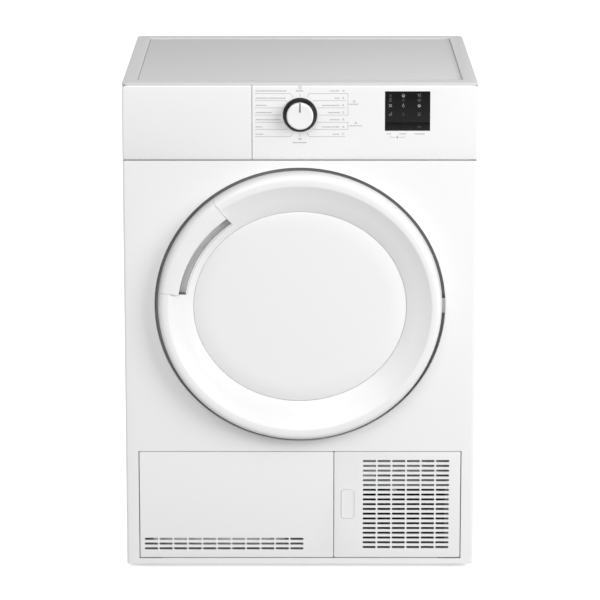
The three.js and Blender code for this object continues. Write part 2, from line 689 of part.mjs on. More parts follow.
// The fixed half: a plate screwed behind the front panel, two cheeks and the pin.
function hingeBracket() {
  const { x, y, pin, half } = HINGE;
  const plateY = [SHEET + GAP, SHEET + GAP + 2];
  const plate = block([x - 8, x + 26], plateY, [-42, 42]);
  const cheek = (z) => block([x - 7, x + 8], [plateY[0], y + 7], [z, z + 3]);
  const bolt = barZ(pin, -half - 4, half + 4, [x, y]);
  const window = block([x - 9, x + 9], [plateY[0] - 1, plateY[1] + 1], [-half - RUN, half + RUN]);
  return joined([plate.subtract(window), cheek(half + RUN), cheek(-half - RUN - 3), bolt]);
}

const HOOK = { x: -(MOUTH_R + 20), half: 10, reach: 27 };

function doorHook() {
  const { x, half, reach } = HOOK;
  const base = block([x - 8, x + 12], [DOOR_TUCK + GAP, DOOR_TUCK + 3], [-half - 4, half + 4]);
  const stem = block([x, x + 5], [DOOR_TUCK + 1, reach], [-half, half]);
  const barb = block([x - 4, x + 1], [reach - 6, reach], [-half, half]);
  return joined([base, stem, barb]);
}

// ---------------------------------------------------------------- behind the door

// The grey ring at the bottom of the groove round the door, with a wall up to the front panel.
function doorSurround() {
  const [a, b] = [OPENING_A, OPENING_B];
  const ring = oval([
    [a - 9.3, b - 9.3, RECESS],
    [a + 0.6, b + 0.6, RECESS],
    [a + 0.6, b + 0.6, SHEET + GAP],
    [a + 2.6, b + 2.6, SHEET + GAP],
    [a + 2.6, b + 2.6, RECESS + 2],
    [a - 9.3, b - 9.3, RECESS + 2],
  ]);
  const room = HINGE.half + 1;
  return ring.subtract(block([0, a + 9], [-3, 12], [-room, room])).translate(0, FRONT, DOOR_Z);
}

const FILTER = { half: 125, thick: 12, high: 88 };
const FILTER_Y = [PLATE_FRONT - 5 - FILTER.thick, PLATE_FRONT - 5];
const FILTER_TOP = DOOR_Z - MOUTH_R - 4;
const axleAt = (side) => {
  const turn = THREE.MathUtils.degToRad(ROLLER_ANGLE);
  const reach = DRUM_R + GAP + ROLLER_R;
  return [side * reach * Math.sin(turn), DOOR_Z - reach * Math.cos(turn)];
};

// The moulded front wall behind the door: the mouth, the filter's shaft and the two roller axles.
function frontBulkhead() {
  const flangeY = FRONT + RECESS + 2 + GAP;
  const flange = oval([
    [MOUTH_R, MOUTH_R, flangeY],
    [OPENING_A + 4, OPENING_B + 4, flangeY],
    [OPENING_A + 4, OPENING_B + 4, flangeY + WALL],
    [MOUTH_R, MOUTH_R, flangeY + WALL],
  ]);
  const tube = turned([
    [MOUTH_R, flangeY],
    [MOUTH_R + 4, flangeY],
    [MOUTH_R + 4, FRONT + DRUM_FRONT - 1],
    [MOUTH_R, FRONT + DRUM_FRONT - 1],
  ]);
  const mouth = barY(MOUTH_R + 2, FRONT - 1, 0, [0, DOOR_Z], ROUND_STEPS);
  const plate = block([-INSIDE, INSIDE], [PLATE_FRONT, PLATE_REAR], [BULKHEAD_LOW, FASCIA_LOW + 28]);
  const shaft = block(
    [-FILTER.half - 4, FILTER.half + 4], [FILTER_Y[0] - 4, PLATE_REAR], [BULKHEAD_LOW, DOOR_Z - MOUTH_R + 12],
  );
  const slot = block(
    [-FILTER.half - RUN, FILTER.half + RUN],
    [FILTER_Y[0] - RUN, FILTER_Y[1] + RUN],
    [FILTER_TOP - FILTER.high - GAP, DOOR_Z - 100],
  );
  const grate = block([-FILTER.half + 15, FILTER.half - 15], FILTER_Y, [BULKHEAD_LOW - 1, FILTER_TOP]);
  const axles = [-1, 1].map((side) => barY(ROLLER_AXLE_R, PLATE_REAR - 1, PLATE_REAR + 26, axleAt(side)));
  const room = HINGE.half + 1.5;
  const hingeRoom = block([MOUTH_R + 5, HALF], [FRONT, PLATE_FRONT - 3], [DOOR_Z - room, DOOR_Z + room]);
  const hookRoom = block(
    [HOOK.x - 8, HOOK.x + 9], [FRONT, flangeY + 5], [DOOR_Z - HOOK.half - 3, DOOR_Z + HOOK.half + 3],
  );
  const shell = less(joined([plate, shaft.subtract(mouth)]), [
    barY(MOUTH_R + 2, FRONT - 1, PLATE_REAR + 1, [0, DOOR_Z], ROUND_STEPS),
  ]);
  const rings = joined([flange, tube]).translate(0, 0, DOOR_Z);
  return less(joined([shell, rings, ...axles]), [slot, grate, hingeRoom, hookRoom]);
}

// A frame round the fine mesh, with a grip along its top.
function lintFilter() {
  const { half, high } = FILTER;
  const [y0, y1] = FILTER_Y;
  const body = block([-half, half], [y0, y1], [FILTER_TOP - high, FILTER_TOP]);
  const inside = block([-half + 4, half - 4], [y0 + 2, y1 - 2], [FILTER_TOP - high - 1, FILTER_TOP - 14]);
  const grip = block([-40, 40], [y0 + 3, y1 - 3], [FILTER_TOP - 13, FILTER_TOP + 1]);
  return body.subtract(inside).subtract(grip);
}

function doorCatch() {
  const { x, half } = HOOK;
  const y0 = FRONT + RECESS + 2 + GAP + WALL + GAP;
  const housing = block([x - 16, x + 14], [y0, y0 + 22], [DOOR_Z - half - 8, DOOR_Z + half + 8]);
  const room = block([x - 9, x + 10], [y0 - 1, y0 + 19], [DOOR_Z - half - 3, DOOR_Z + half + 3]);
  return housing.subtract(room);
}

// Felt ring on which the drum's front edge runs.
function drumFrontSeal() {
  const y0 = PLATE_REAR + GAP;
  return turned([
    [DRUM_MOUTH_R - 12, y0],
    [DRUM_MOUTH_R + 14, y0],
    [DRUM_MOUTH_R + 14, FRONT + DRUM_FRONT - GAP],
    [DRUM_MOUTH_R - 12, FRONT + DRUM_FRONT - GAP],
  ]).translate(0, 0, DOOR_Z);
}

function drumLamp() {
  const turn = THREE.MathUtils.degToRad(60);
  const reach = MOUTH_R - 3.9;
  const lens = block([-14, 14], [PLATE_FRONT - 20, PLATE_FRONT - 4], [0, 2.4]);
  return lens.rotate([0, 90 - 60, 0]).translate(reach * Math.cos(turn), 0, DOOR_Z + reach * Math.sin(turn));
}

// ---------------------------------------------------------------- drum and its drive

const drum = groupAt(0, 0, DOOR_Z);
const DRUM_Y = [FRONT + DRUM_FRONT, FRONT + DRUM_FRONT + DRUM_LENGTH];
const BULKHEAD_Y = [DRUM_Y[1] + BULKHEAD_REAR_ROOM, DRUM_Y[1] + BULKHEAD_REAR_ROOM + 4];

// The stainless barrel with its turned-in front edge.
function drumShell() {
  const [y0, y1] = DRUM_Y;
  const t = DRUM_SHEET;
  return turned([
    [DRUM_MOUTH_R, y0],
    [DRUM_R - 4, y0],
    [DRUM_R, y0 + 4],
    [DRUM_R, y1],
    [DRUM_R - t, y1],
    [DRUM_R - t, y0 + 4 + t],
    [DRUM_R - 4 - t, y0 + t],
    [DRUM_MOUTH_R, y0 + t],
  ]);
}

// The dished rear wall, seamed into the barrel, with its air vents and the rear shaft.
function drumRearWall() {
  const y1 = DRUM_Y[1];
  const t = DRUM_SHEET;
  const edge = DRUM_R - t - GAP;
  const wall = turned([
    [0, y1 + 4],
    [50, y1 + 4],
    [60, y1],
    [edge, y1],
    [edge, y1 - t],
    [60 + t, y1 - t],
    [50 + t, y1 + 4 - 2 * t],
    [0, y1 + 4 - 2 * t],
  ]);
  const vents = [];
  for (let i = 0; i < 12; i += 1) {
    const turn = (i * Math.PI) / 6;
    vents.push(barY(16, y1 - 5, y1 + 2, [150 * Math.cos(turn), 150 * Math.sin(turn)], 8));
  }
  return less(wall, vents).add(barY(SHAFT_R, y1 + 3, BULKHEAD_Y[1] + 20));
}

// A hollow fin that tumbles the laundry, riveted inside the shell.
function lifter(number) {
  const [y0, y1] = [DRUM_Y[0] + 40, DRUM_Y[1] - 30];
  const halfBase = 32;
  const inside = (DRUM_R - DRUM_SHEET) * Math.cos(Math.PI / ROUND_STEPS) - GAP;
  const foot = Math.sqrt(inside ** 2 - halfBase ** 2);
  const section = polygon([
    [-halfBase, -foot],
    [halfBase, -foot],
    [9, -foot + LIFTER_HEIGHT - 6],
    [0, -foot + LIFTER_HEIGHT],
    [-9, -foot + LIFTER_HEIGHT - 6],
  ]);
  return deepened(section, y0, y1).rotate([0, 30 + number * 120, 0]);
}

function rearBulkhead() {
  const plate = block([-INSIDE, INSIDE], BULKHEAD_Y, [BULKHEAD_LOW, DOOR_Z + DRUM_R - 10]);
  const boss = barY(27, BULKHEAD_Y[0], BULKHEAD_Y[1] + 20, [0, DOOR_Z]);
  const bore = barY(SHAFT_R + 0.6, BULKHEAD_Y[0] - 1, BULKHEAD_Y[1] + 22, [0, DOOR_Z]);
  const inlets = [0, 1, 2, 3, 4, 5].map((i) => {
    const turn = (i * Math.PI) / 3;
    return barY(28, BULKHEAD_Y[0] - 1, BULKHEAD_Y[1] + 1, [100 * Math.cos(turn), DOOR_Z + 100 * Math.sin(turn)]);
  });
  return less(plate.add(boss), [bore, ...inlets]);
}

// The heated air's duct, between the rear bulkhead and the rear panel.
function heaterDuct() {
  const y0 = BULKHEAD_Y[1] + GAP;
  const y1 = REAR_FACE - SHEET - GAP;
  const outer = block([-135, 135], [y0, y1], [TRAY_TOP + GAP, DOOR_Z + 145]);
  const inner = block([-133, 133], [y0 - 1, y1 - 2], [TRAY_TOP - 1, DOOR_Z + 143]);
  return outer.subtract(inner);
}

function roller() {
  return turned([
    [ROLLER_AXLE_R + 0.6, 0],
    [14, 0],
    [14, 2],
    [ROLLER_R, 2],
    [ROLLER_R, 16],
    [14, 16],
    [14, 18],
    [ROLLER_AXLE_R + 0.6, 18],
  ], 16);
}

const BELT_Y = DRUM_Y[1] - 115;
const motorAt = [MOTOR_X, MOTOR_Z];
const BELT_SPACE = 0.8; // belt to the wheels it runs on, which are drawn with straight facets

// The belt's line: over the drum, under the idler's far side and round the motor's pulley.
function beltCircles() {
  const pulley = { x: MOTOR_X, z: MOTOR_Z, r: PULLEY_R + BELT_SPACE, way: 1 };
  const big = { x: 0, z: DOOR_Z, r: DRUM_R + BELT_SPACE, way: 1 };
  const idler = { x: IDLER_AT[0], z: IDLER_AT[1], r: IDLER_R + BELT_SPACE + BELT_THICKNESS, way: -1 };
  return [big, idler, pulley];
}
const IDLER_AT = [MOTOR_X - 70, MOTOR_Z + 8];

// Where a straight run leaves one circle and meets the next, each circled its own way.
function tangent(from, to) {
  const [dx, dz] = [to.x - from.x, to.z - from.z];
  const span = Math.hypot(dx, dz);
  const [p, q] = [from.way * from.r, to.way * to.r];
  const heading = Math.atan2(dz, dx) + Math.asin((p - q) / span);
  const [nx, nz] = [Math.sin(heading), -Math.cos(heading)];
  return {
    leave: [from.x + p * nx, from.z + p * nz],
    meet: [to.x + q * nx, to.z + q * nz],
  };
}

function beltLine(offset) {
  const circles = beltCircles().map((c) => ({ ...c, r: c.r + c.way * offset }));
  const points = [];
  circles.forEach((circle, i) => {
    const before = circles[(i + circles.length - 1) % circles.length];
    const after = circles[(i + 1) % circles.length];
    const start = tangent(before, circle).meet;
    const end = tangent(circle, after).leave;
    const a0 = Math.atan2(start[1] - circle.z, start[0] - circle.x);
    let a1 = Math.atan2(end[1] - circle.z, end[0] - circle.x);
    while (circle.way * (a1 - a0) < 0) a1 += circle.way * 2 * Math.PI;
    const steps = Math.max(4, Math.ceil(Math.abs(a1 - a0) / 0.11));
    for (let k = 0; k <= steps; k += 1) {
      const turn = a0 + ((a1 - a0) * k) / steps;
      points.push([circle.x + circle.r * Math.cos(turn), circle.z + circle.r * Math.sin(turn)]);
    }
  });
  return points;
}

function drumBelt() {
  const ring = deepened(polygon(beltLine(BELT_THICKNESS)), BELT_Y, BELT_Y + BELT_WIDTH);
  const hole = deepened(polygon(beltLine(0)), BELT_Y - 1, BELT_Y + BELT_WIDTH + 1);
  return ring.subtract(hole);
}

const MOTOR_Y = [BELT_Y - 22 - MOTOR_LENGTH, BELT_Y - 22];
const COOLING_FAN_Y = [MOTOR_Y[0] - 78, MOTOR_Y[0] - 18];
const PROCESS_FAN_Y = [BELT_Y + BELT_WIDTH + 22, BELT_Y + BELT_WIDTH + 72];

// The motor's shell on its feet, with the arm that carries the belt's idler.
function motorHousing() {
  const shell = barY(MOTOR_R, ...MOTOR_Y, motorAt, SMALL_STEPS);
  const bore = boreY(ROTOR_R + RUN, MOTOR_Y[0] - 1, MOTOR_Y[1] + 1, motorAt);
  const feet = block([MOTOR_X - 38, MOTOR_X + 38], MOTOR_Y, [TRAY_FLOOR + GAP, MOTOR_Z - MOTOR_R + 12]);
  const arm = block([IDLER_AT[0] - 8, MOTOR_X - 20], [MOTOR_Y[1] - 4, MOTOR_Y[1]], [IDLER_AT[1] - 8, IDLER_AT[1] + 8]);
  const pin = barY(5, MOTOR_Y[1] - 2, BELT_Y + BELT_WIDTH + 4, IDLER_AT);
  return joined([shell, feet, arm, pin]).subtract(bore);
}

const rotor = groupAt(MOTOR_X, 0, MOTOR_Z);

function rotorShaft() {
  const shaft = barY(ROTOR_R, COOLING_FAN_Y[0] - 6, PROCESS_FAN_Y[1] + 6);
  const pulley = turned([
    [0, BELT_Y - 5],
    [PULLEY_R + 4, BELT_Y - 5],
    [PULLEY_R + 4, BELT_Y - 2],
    [PULLEY_R, BELT_Y - 1.5],
    [PULLEY_R, BELT_Y + BELT_WIDTH + 1.5],
    [PULLEY_R + 4, BELT_Y + BELT_WIDTH + 2],
    [PULLEY_R + 4, BELT_Y + BELT_WIDTH + 5],
    [0, BELT_Y + BELT_WIDTH + 5],
  ], SMALL_STEPS);
  return shaft.add(pulley);
}

// A hub, a back plate and straight blades between them and a front ring.
function fanWheel(radius, [y0, y1], blades) {
  const hub = barY(14, y0, y1);
  const plate = barY(radius, y1 - 2.5, y1);
  const vanes = [];
  for (let i = 0; i < blades; i += 1) {
    vanes.push(block([radius * 0.55, radius - 1], [y0, y1 - 1], [-1.5, 1.5]).rotate([0, (i * 360) / blades, 0]));
  }
  const ring = turned([
    [radius - 6, y0],
    [radius, y0],
    [radius, y0 + 3],
    [radius - 6, y0 + 3],
  ], SMALL_STEPS);
  return joined([hub, plate, ring, ...vanes]).subtract(boreY(ROTOR_R + GAP, y0 - 1, y1 + 1));
}

// The rounded casing round the process air's fan, open at its front eye and towards the rear duct.
function processFanHousing() {
  const [y0, y1] = [PROCESS_FAN_Y[0] - 6, PROCESS_FAN_Y[1] + 10];
  const radius = PROCESS_FAN_R + 8;
  const body = (r, front, rear) => {
    const drumPart = barY(r, front, rear, motorAt, ROUND_STEPS);
    const box = block([MOTOR_X - r, MOTOR_X], [front, rear], [MOTOR_Z - 10, MOTOR_Z + r]);
    return drumPart.add(box);
  };
  const outer = body(radius, y0, y1);
  const inner = body(radius - 2.5, y0 + 2.5, y1 - 2.5);
  const eye = barY(48, y0 - 1, y0 + 4, motorAt);
  const outlet = block([MOTOR_X - radius + 6, MOTOR_X - 12], [y1 - 4, y1 + 1], [MOTOR_Z + 16, MOTOR_Z + radius - 6]);
  const foot = block([MOTOR_X - 30, MOTOR_X + 30], [y0, y1], [TRAY_FLOOR + GAP, MOTOR_Z - radius + 8]);
  return less(joined([outer, foot]), [inner, eye, outlet]);
}

const idlerPulley = () =>
  turned([
    [5.6, 0],
    [IDLER_R, 0],
    [IDLER_R, BELT_WIDTH + 2],
    [5.6, BELT_WIDTH + 2],
  ], SMALL_STEPS);

// ---------------------------------------------------------------- base

const CONDENSER = {
  x0: -HALF + 53,
  z0: FOOT_CLEARANCE + 18,
  y0: TRAY_FRONT + 0.5,
};
const flangeGrow = 9;

function baseTray() {
  const x = HALF - SHEET - 1;
  const rear = REAR_FACE - SHEET - GAP - SHEET - GAP;
  const low = FOOT_CLEARANCE;
  const outer = block([-x, x], [TRAY_FRONT, rear], [low, TRAY_TOP]);
  const inner = block([-x + 4, x - 4], [TRAY_FRONT + 4, rear - 4], [TRAY_FLOOR, TRAY_TOP + 1]);
  const { x0, z0 } = CONDENSER;
  const mouth = block(
    [x0 - RUN, x0 + CONDENSER_WIDTH + RUN], [TRAY_FRONT - 1, TRAY_FRONT + 6],
    [z0 - RUN, z0 + CONDENSER_HEIGHT + RUN],
  );
  const intake = block(
    [MOTOR_X - 85, MOTOR_X + 85], [TRAY_FRONT - 1, TRAY_FRONT + 6], [TRAY_FLOOR + 8, TRAY_TOP - 12],
  );
  const runner = (at) => block([at, at + 8], [TRAY_FRONT, TRAY_FRONT + CONDENSER_LENGTH], [low + 1, z0 - GAP]);
  const divider = block(
    [x0 + CONDENSER_WIDTH + 6, x0 + CONDENSER_WIDTH + 9], [TRAY_FRONT, BELT_Y - 20], [low + 1, TRAY_TOP],
  );
  const bosses = footPlaces().map(([fx, fy]) => barZ(11, low + 1, low + 22, [fx, fy]));
  const bores = footPlaces().map(([fx, fy]) => boreZ(FOOT.stud + RUN, low - 1, low + 40, [fx, fy], PIN_STEPS));
  return less(
    joined([outer.subtract(inner), runner(x0 + 20), runner(x0 + CONDENSER_WIDTH - 28), divider, ...bosses]),
    [mouth, intake, ...bores],
  );
}

// The heat exchanger: a finned block with a flange that closes the tray's mouth.
function condenser() {
  const { x0, z0, y0 } = CONDENSER;
  const x1 = x0 + CONDENSER_WIDTH;
  const z1 = z0 + CONDENSER_HEIGHT;
  const block0 = block([x0, x1], [TRAY_FRONT - 1, y0 + CONDENSER_LENGTH], [z0, z1]);
  const flange = block(
    [x0 - flangeGrow, x1 + flangeGrow], [TRAY_FRONT - 4, TRAY_FRONT - GAP], [z0 - flangeGrow, z1 + flangeGrow],
  );
  const fins = [];
  const count = 7;
  const pitch = (CONDENSER_LENGTH - 40) / count;
  for (let i = 0; i < count; i += 1) {
    const y = y0 + 20 + i * pitch;
    fins.push(block([x0 - 1, x1 + 1], [y, y + pitch - 5], [z0 + 12, z1 - 12]));
  }
  const grip = block([(x0 + x1) / 2 - 45, (x0 + x1) / 2 + 45], [TRAY_FRONT - 5, TRAY_FRONT + 12], [z0 + 40, z0 + 75]);
  return less(block0.add(flange), [...fins, grip]);
}

function condenserLock(side) {
  const centre = CONDENSER.x0 + CONDENSER_WIDTH / 2;
  const group = groupAt(
    centre + side * (CONDENSER_WIDTH / 2 - 24), TRAY_FRONT - 4 - GAP, CONDENSER.z0 + CONDENSER_HEIGHT - 24,
  );
  const lever = block([-5, 5], [-5, 0], [-19, 19]).add(barY(11, -4, 0));
  add(group, side < 0 ? 'condenser_lock_left' : 'condenser_lock_right', lever, 'greyPlastic');
}

function condensatePump() {
  const y0 = REAR_FACE - 150;
  const sump = block([-HALF + 60, -HALF + 150], [y0, y0 + 80], [TRAY_FLOOR + GAP, TRAY_FLOOR + 40]);
  const head = barZ(28, TRAY_FLOOR + 39, TRAY_FLOOR + 95, [-HALF + 105, y0 + 40]);
  return sump.add(head);
}

const FOOT = { stud: 5, pad: 21, inX: 38, inY: 46 };
function footPlaces() {
  const [x, y0, y1] = [HALF - FOOT.inX, FRONT + FOOT.inY, REAR_FACE - FOOT.inY];
  return [[-x, y0], [x, y0], [-x, y1], [x, y1]];
}

function levellingFoot() {
  const nut = barZ(12, 4.5, FOOT_CLEARANCE - GAP, [0, 0], 6);
  return joined([barZ(FOOT.pad, 0, 5, [0, 0], 16), nut, barZ(FOOT.stud, 4, FOOT_CLEARANCE + 30, [0, 0], PIN_STEPS)]);
}

// ---------------------------------------------------------------- service door, grille and button

const VENT = { pitchX: 25.1, pitchZ: 8.55, width: 22.6, height: 4.2 };
const KICK_Y = [FRONT + 1.2, FRONT + 1.2 + KICK_THICKNESS];
const KICK_Z = [KICK_LOW + SEAM, KICK_HIGH - SEAM];

// A shallow tray with three rows of slots and a pin at each end of its left edge.
function kickDoor() {
  const [x0, x1] = [-KICK_HALF_WIDTH + SEAM, KICK_SPLIT - SEAM / 2];
  const face = rounded(x0, x1, ...KICK_Z, 5);
  const vents = slotCutter(
    [x0 + 8.3, KICK_LOW + 36.5], 11, 3, VENT.pitchX, VENT.pitchZ, VENT.width, VENT.height, [FRONT, FRONT + 6],
  );
  const skin = deepened(face, KICK_Y[0], KICK_Y[0] + 2.5).subtract(vents);
  const wall = rounded(x0, x1, ...KICK_Z, 5);
  wall.holes.push(roundedHole(x0 + 2.5, x1 - 2.5, KICK_Z[0] + 2.5, KICK_Z[1] - 2.5, 3));
  const rim = deepened(wall, KICK_Y[0] + 2, KICK_Y[1], 4);
  const lug = (z) => block([x0 + 1, KICK_PIN.x + 4], [KICK_Y[0] + 1, KICK_Y[1]], [z, z + 8]);
  const pin = (z) => barZ(KICK_PIN.r, z, z + 4, [KICK_PIN.x, KICK_PIN.y], 12);
  return joined([
    skin, rim, lug(KICK_Z[0] + 1), lug(KICK_Z[1] - 9), pin(KICK_Z[0] - 2), pin(KICK_Z[1] - 2),
  ]);
}

const BUTTON = { x: 82, z: 114.8 };

function kickGrille() {
  const [x0, x1] = [KICK_SPLIT + SEAM / 2, KICK_HALF_WIDTH - SEAM];
  const face = rounded(x0, x1, ...KICK_Z, 5);
  const vents = slotCutter(
    [KICK_SPLIT + 50, KICK_HIGH - 15.9], 6, 19, VENT.pitchX, VENT.pitchZ, VENT.width, VENT.height,
    [FRONT, FRONT + 6],
  );
  const [bw, bh] = [BUTTON_WIDTH / 2 + RUN, BUTTON_HEIGHT / 2 + RUN];
  face.holes.push(roundedHole(BUTTON.x - bw, BUTTON.x + bw, BUTTON.z - bh, BUTTON.z + bh, 5.5));
  const skin = deepened(face, KICK_Y[0], KICK_Y[0] + 2.5).subtract(vents);
  const wall = rounded(x0, x1, ...KICK_Z, 5);
  wall.holes.push(roundedHole(x0 + 2.5, x1 - 2.5, KICK_Z[0] + 2.5, KICK_Z[1] - 2.5, 3));
  const rim = deepened(wall, KICK_Y[0] + 2, TRAY_FRONT - GAP, 4);
  return skin.add(rim);
}

const kickButton = () =>
  deepened(
    rounded(
      BUTTON.x - BUTTON_WIDTH / 2, BUTTON.x + BUTTON_WIDTH / 2,
      BUTTON.z - BUTTON_HEIGHT / 2, BUTTON.z + BUTTON_HEIGHT / 2, 5,
    ),
    KICK_Y[0] - 0.8, KICK_Y[0] + 8, 4,
  );

// ---------------------------------------------------------------- the assembly

add(cabinet, 'base_tray', baseTray(), 'greyPlastic');
add(cabinet, 'left_side_panel', sidePanel(-1), 'whitePaint');
add(cabinet, 'right_side_panel', sidePanel(1), 'whitePaint');
add(cabinet, 'rear_panel', rearPanel(), 'zincSteel');
add(cabinet, 'front_panel', frontPanel(), 'whitePaint');
add(cabinet, 'worktop_frame', worktopFrame(), 'greyTop');
add(cabinet, 'worktop_board', worktopBoard(), 'greyTop');
add(cabinet, 'front_crossrail', frontCrossrail(), 'zincSteel');
add(cabinet, 'control_fascia', controlFascia(), 'whitePlastic');
add(cabinet, 'display_window', displayWindow(), 'blackGloss');
add(cabinet, 'control_board', controlBoard(), 'greyPlastic');
add(cabinet, 'tank_tray', tankTray(), 'greyPlastic');
add(cabinet, 'door_surround', doorSurround(), 'grooveGrey');
add(cabinet, 'front_bulkhead', frontBulkhead(), 'whitePlastic');
add(cabinet, 'rear_bulkhead', rearBulkhead(), 'zincSteel');
add(cabinet, 'drum_front_seal', drumFrontSeal(), 'felt');
add(cabinet, 'door_catch', doorCatch(), 'greyPlastic');
add(cabinet, 'drum_belt', drumBelt(), 'rubber');
add(cabinet, 'motor_housing', motorHousing(), 'zincSteel');
add(cabinet, 'process_fan_housing', processFanHousing(), 'greyPlastic');
add(cabinet, 'heater_duct', heaterDuct(), 'zincSteel');
add(cabinet, 'condenser', condenser(), 'aluminium');
add(cabinet, 'condensate_pump', condensatePump(), 'darkPlastic');
add(cabinet, 'kick_grille', kickGrille(), 'whitePlastic');
add(cabinet, 'mains_inlet', mainsInlet(), 'darkPlastic');
add(cabinet, 'drum_lamp', drumLamp(), 'clearCover');

const hingeSide = groupAt(0, FRONT, DOOR_Z);
add(hingeSide, 'hinge_bracket', hingeBracket(), 'zincSteel');

add(door, 'door_rim', doorRim(), 'whitePlastic');
add(door, 'door_disc', doorDisc(), 'whitePlastic');
add(door, 'door_handle', doorHandle(), 'whitePlastic');
add(door, 'door_inner_panel', doorInnerPanel(), 'whitePlastic');
add(door, 'door_hinge', doorHinge(), 'zincSteel');
add(door, 'door_hook', doorHook(), 'zincSteel');

add(cabinet, 'tank_drawer_front', tankDrawerFront(), 'whitePlastic');
add(cabinet, 'water_tank', waterTank(), 'clearCover');
add(knob, 'knob_skirt', knobSkirt(), 'blackGloss');
add(knob, 'knob_cap', knobCap(), 'whitePlastic');
for (let i = 0; i < KEY_COUNT; i += 1) add(cabinet, `key_${i + 1}`, key(i), 'blackGloss');

add(drum, 'drum_shell', drumShell(), 'stainless');
add(drum, 'drum_rear_wall', drumRearWall(), 'stainless');
for (let i = 0; i < 3; i += 1) add(drum, `lifter_${i + 1}`, lifter(i), 'whitePlastic');
for (const side of [-1, 1]) {
  const [x, z] = axleAt(side);
  const group = groupAt(x, PLATE_REAR + 5, z);
  add(group, side < 0 ? 'roller_left' : 'roller_right', roller(), 'darkPlastic');
}
add(rotor, 'rotor_shaft', rotorShaft(), 'zincSteel');
add(rotor, 'process_fan', fanWheel(PROCESS_FAN_R, PROCESS_FAN_Y, 12), 'darkPlastic');
add(rotor, 'cooling_fan', fanWheel(COOLING_FAN_R, COOLING_FAN_Y, 10), 'darkPlastic');
add(groupAt(IDLER_AT[0], BELT_Y - 1, IDLER_AT[1]), 'idler_pulley', idlerPulley(), 'darkPlastic');
add(cabinet, 'lint_filter', lintFilter(), 'greyPlastic');

add(cabinet, 'kick_door', kickDoor(), 'whitePlastic');
add(cabinet, 'kick_button', kickButton(), 'whitePlastic');
for (const side of [-1, 1]) condenserLock(side);
footPlaces().forEach(([x, y], i) => {
  const names = ['foot_front_left', 'foot_front_right', 'foot_rear_left', 'foot_rear_right'];
  add(groupAt(x, y, 0), names[i], levellingFoot(), 'rubber');
});

export default dryer;
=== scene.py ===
"""A front-loading condenser clothes dryer, put together piece by piece. Metres, +Z up."""

import math
import random

import bmesh
import bpy
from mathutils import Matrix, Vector


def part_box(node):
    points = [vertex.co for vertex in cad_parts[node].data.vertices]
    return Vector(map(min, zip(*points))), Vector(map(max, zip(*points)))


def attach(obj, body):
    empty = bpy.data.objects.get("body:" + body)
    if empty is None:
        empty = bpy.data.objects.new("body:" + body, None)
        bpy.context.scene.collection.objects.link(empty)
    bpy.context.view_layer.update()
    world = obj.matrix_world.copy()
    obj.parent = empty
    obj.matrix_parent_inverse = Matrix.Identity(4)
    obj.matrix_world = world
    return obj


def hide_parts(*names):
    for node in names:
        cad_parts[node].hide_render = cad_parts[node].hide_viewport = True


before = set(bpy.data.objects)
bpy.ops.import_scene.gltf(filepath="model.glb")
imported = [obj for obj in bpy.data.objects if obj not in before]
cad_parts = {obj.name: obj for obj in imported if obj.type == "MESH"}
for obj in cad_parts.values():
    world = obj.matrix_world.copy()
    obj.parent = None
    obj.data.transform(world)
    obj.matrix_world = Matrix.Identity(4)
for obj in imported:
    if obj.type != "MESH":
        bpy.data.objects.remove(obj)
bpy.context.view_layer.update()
bpy.ops.object.select_all(action="DESELECT")


# ---------------------------------------------------------------- camera and studio
# The camera stands more than five metres in front of the machine, above its worktop, behind a long lens.
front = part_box("front_panel")[0].y
bpy.ops.object.camera_add(location=(0, front - 5.39, 1.688), rotation=(math.radians(90 - 12.684), 0, 0))
camera = bpy.context.object
camera.data.sensor_width = 36
camera.data.lens = 195.35
camera.data.clip_end = 80
bpy.context.scene.camera = camera
bpy.context.scene.view_settings.view_transform = "Standard"

# The air of the studio is white, and dimmer near the ground. The floor is a wide pale sheet.
air = bpy.data.worlds.new("studio_air")
air.use_nodes = True
bpy.context.scene.world = air
glow = air.node_tree.nodes["Background"]
glow.inputs["Color"].default_value = (1, 1, 1, 1)
air_way = air.node_tree.nodes.new("ShaderNodeTexCoord")
air_up = air.node_tree.nodes.new("ShaderNodeSeparateXYZ")
air_fall = air.node_tree.nodes.new("ShaderNodeMapRange")
air_fall.inputs["From Min"].default_value = -0.5
air_fall.inputs["From Max"].default_value = 0.6
air_fall.inputs["To Min"].default_value = 0.3
air_fall.inputs["To Max"].default_value = 0.72
air.node_tree.links.new(air_way.outputs["Generated"], air_up.inputs["Vector"])
air.node_tree.links.new(air_up.outputs["Z"], air_fall.inputs["Value"])
air.node_tree.links.new(air_fall.outputs["Result"], glow.inputs["Strength"])
bpy.ops.mesh.primitive_plane_add(size=60, location=(0, 0, 0))
floor = bpy.context.object
floor.name = "studio_floor"
floor_paint = bpy.data.materials.new("studio_floor_paint")
floor_paint.use_nodes = True
paint_nodes = floor_paint.node_tree
paint_shader = paint_nodes.nodes["Principled BSDF"]
paint_shader.inputs["Base Color"].default_value = (0.9, 0.9, 0.9, 1)
paint_shader.inputs["Roughness"].default_value = 0.9
paint_shader.inputs["Specular IOR Level"].default_value = 0.1
paint_shader.inputs["Emission Color"].default_value = (1, 1, 1, 1)
paint_shader.inputs["Emission Strength"].default_value = 0.5
floor.visible_diffuse = False
mottle = paint_nodes.nodes.new("ShaderNodeTexNoise")
mottle.inputs["Scale"].default_value = 3
mottle_bump = paint_nodes.nodes.new("ShaderNodeBump")
mottle_bump.inputs["Strength"].default_value = 0.05
paint_nodes.links.new(mottle.outputs["Fac"], mottle_bump.inputs["Height"])
paint_nodes.links.new(mottle_bump.outputs["Normal"], paint_shader.inputs["Normal"])
floor.data.materials.append(floor_paint)


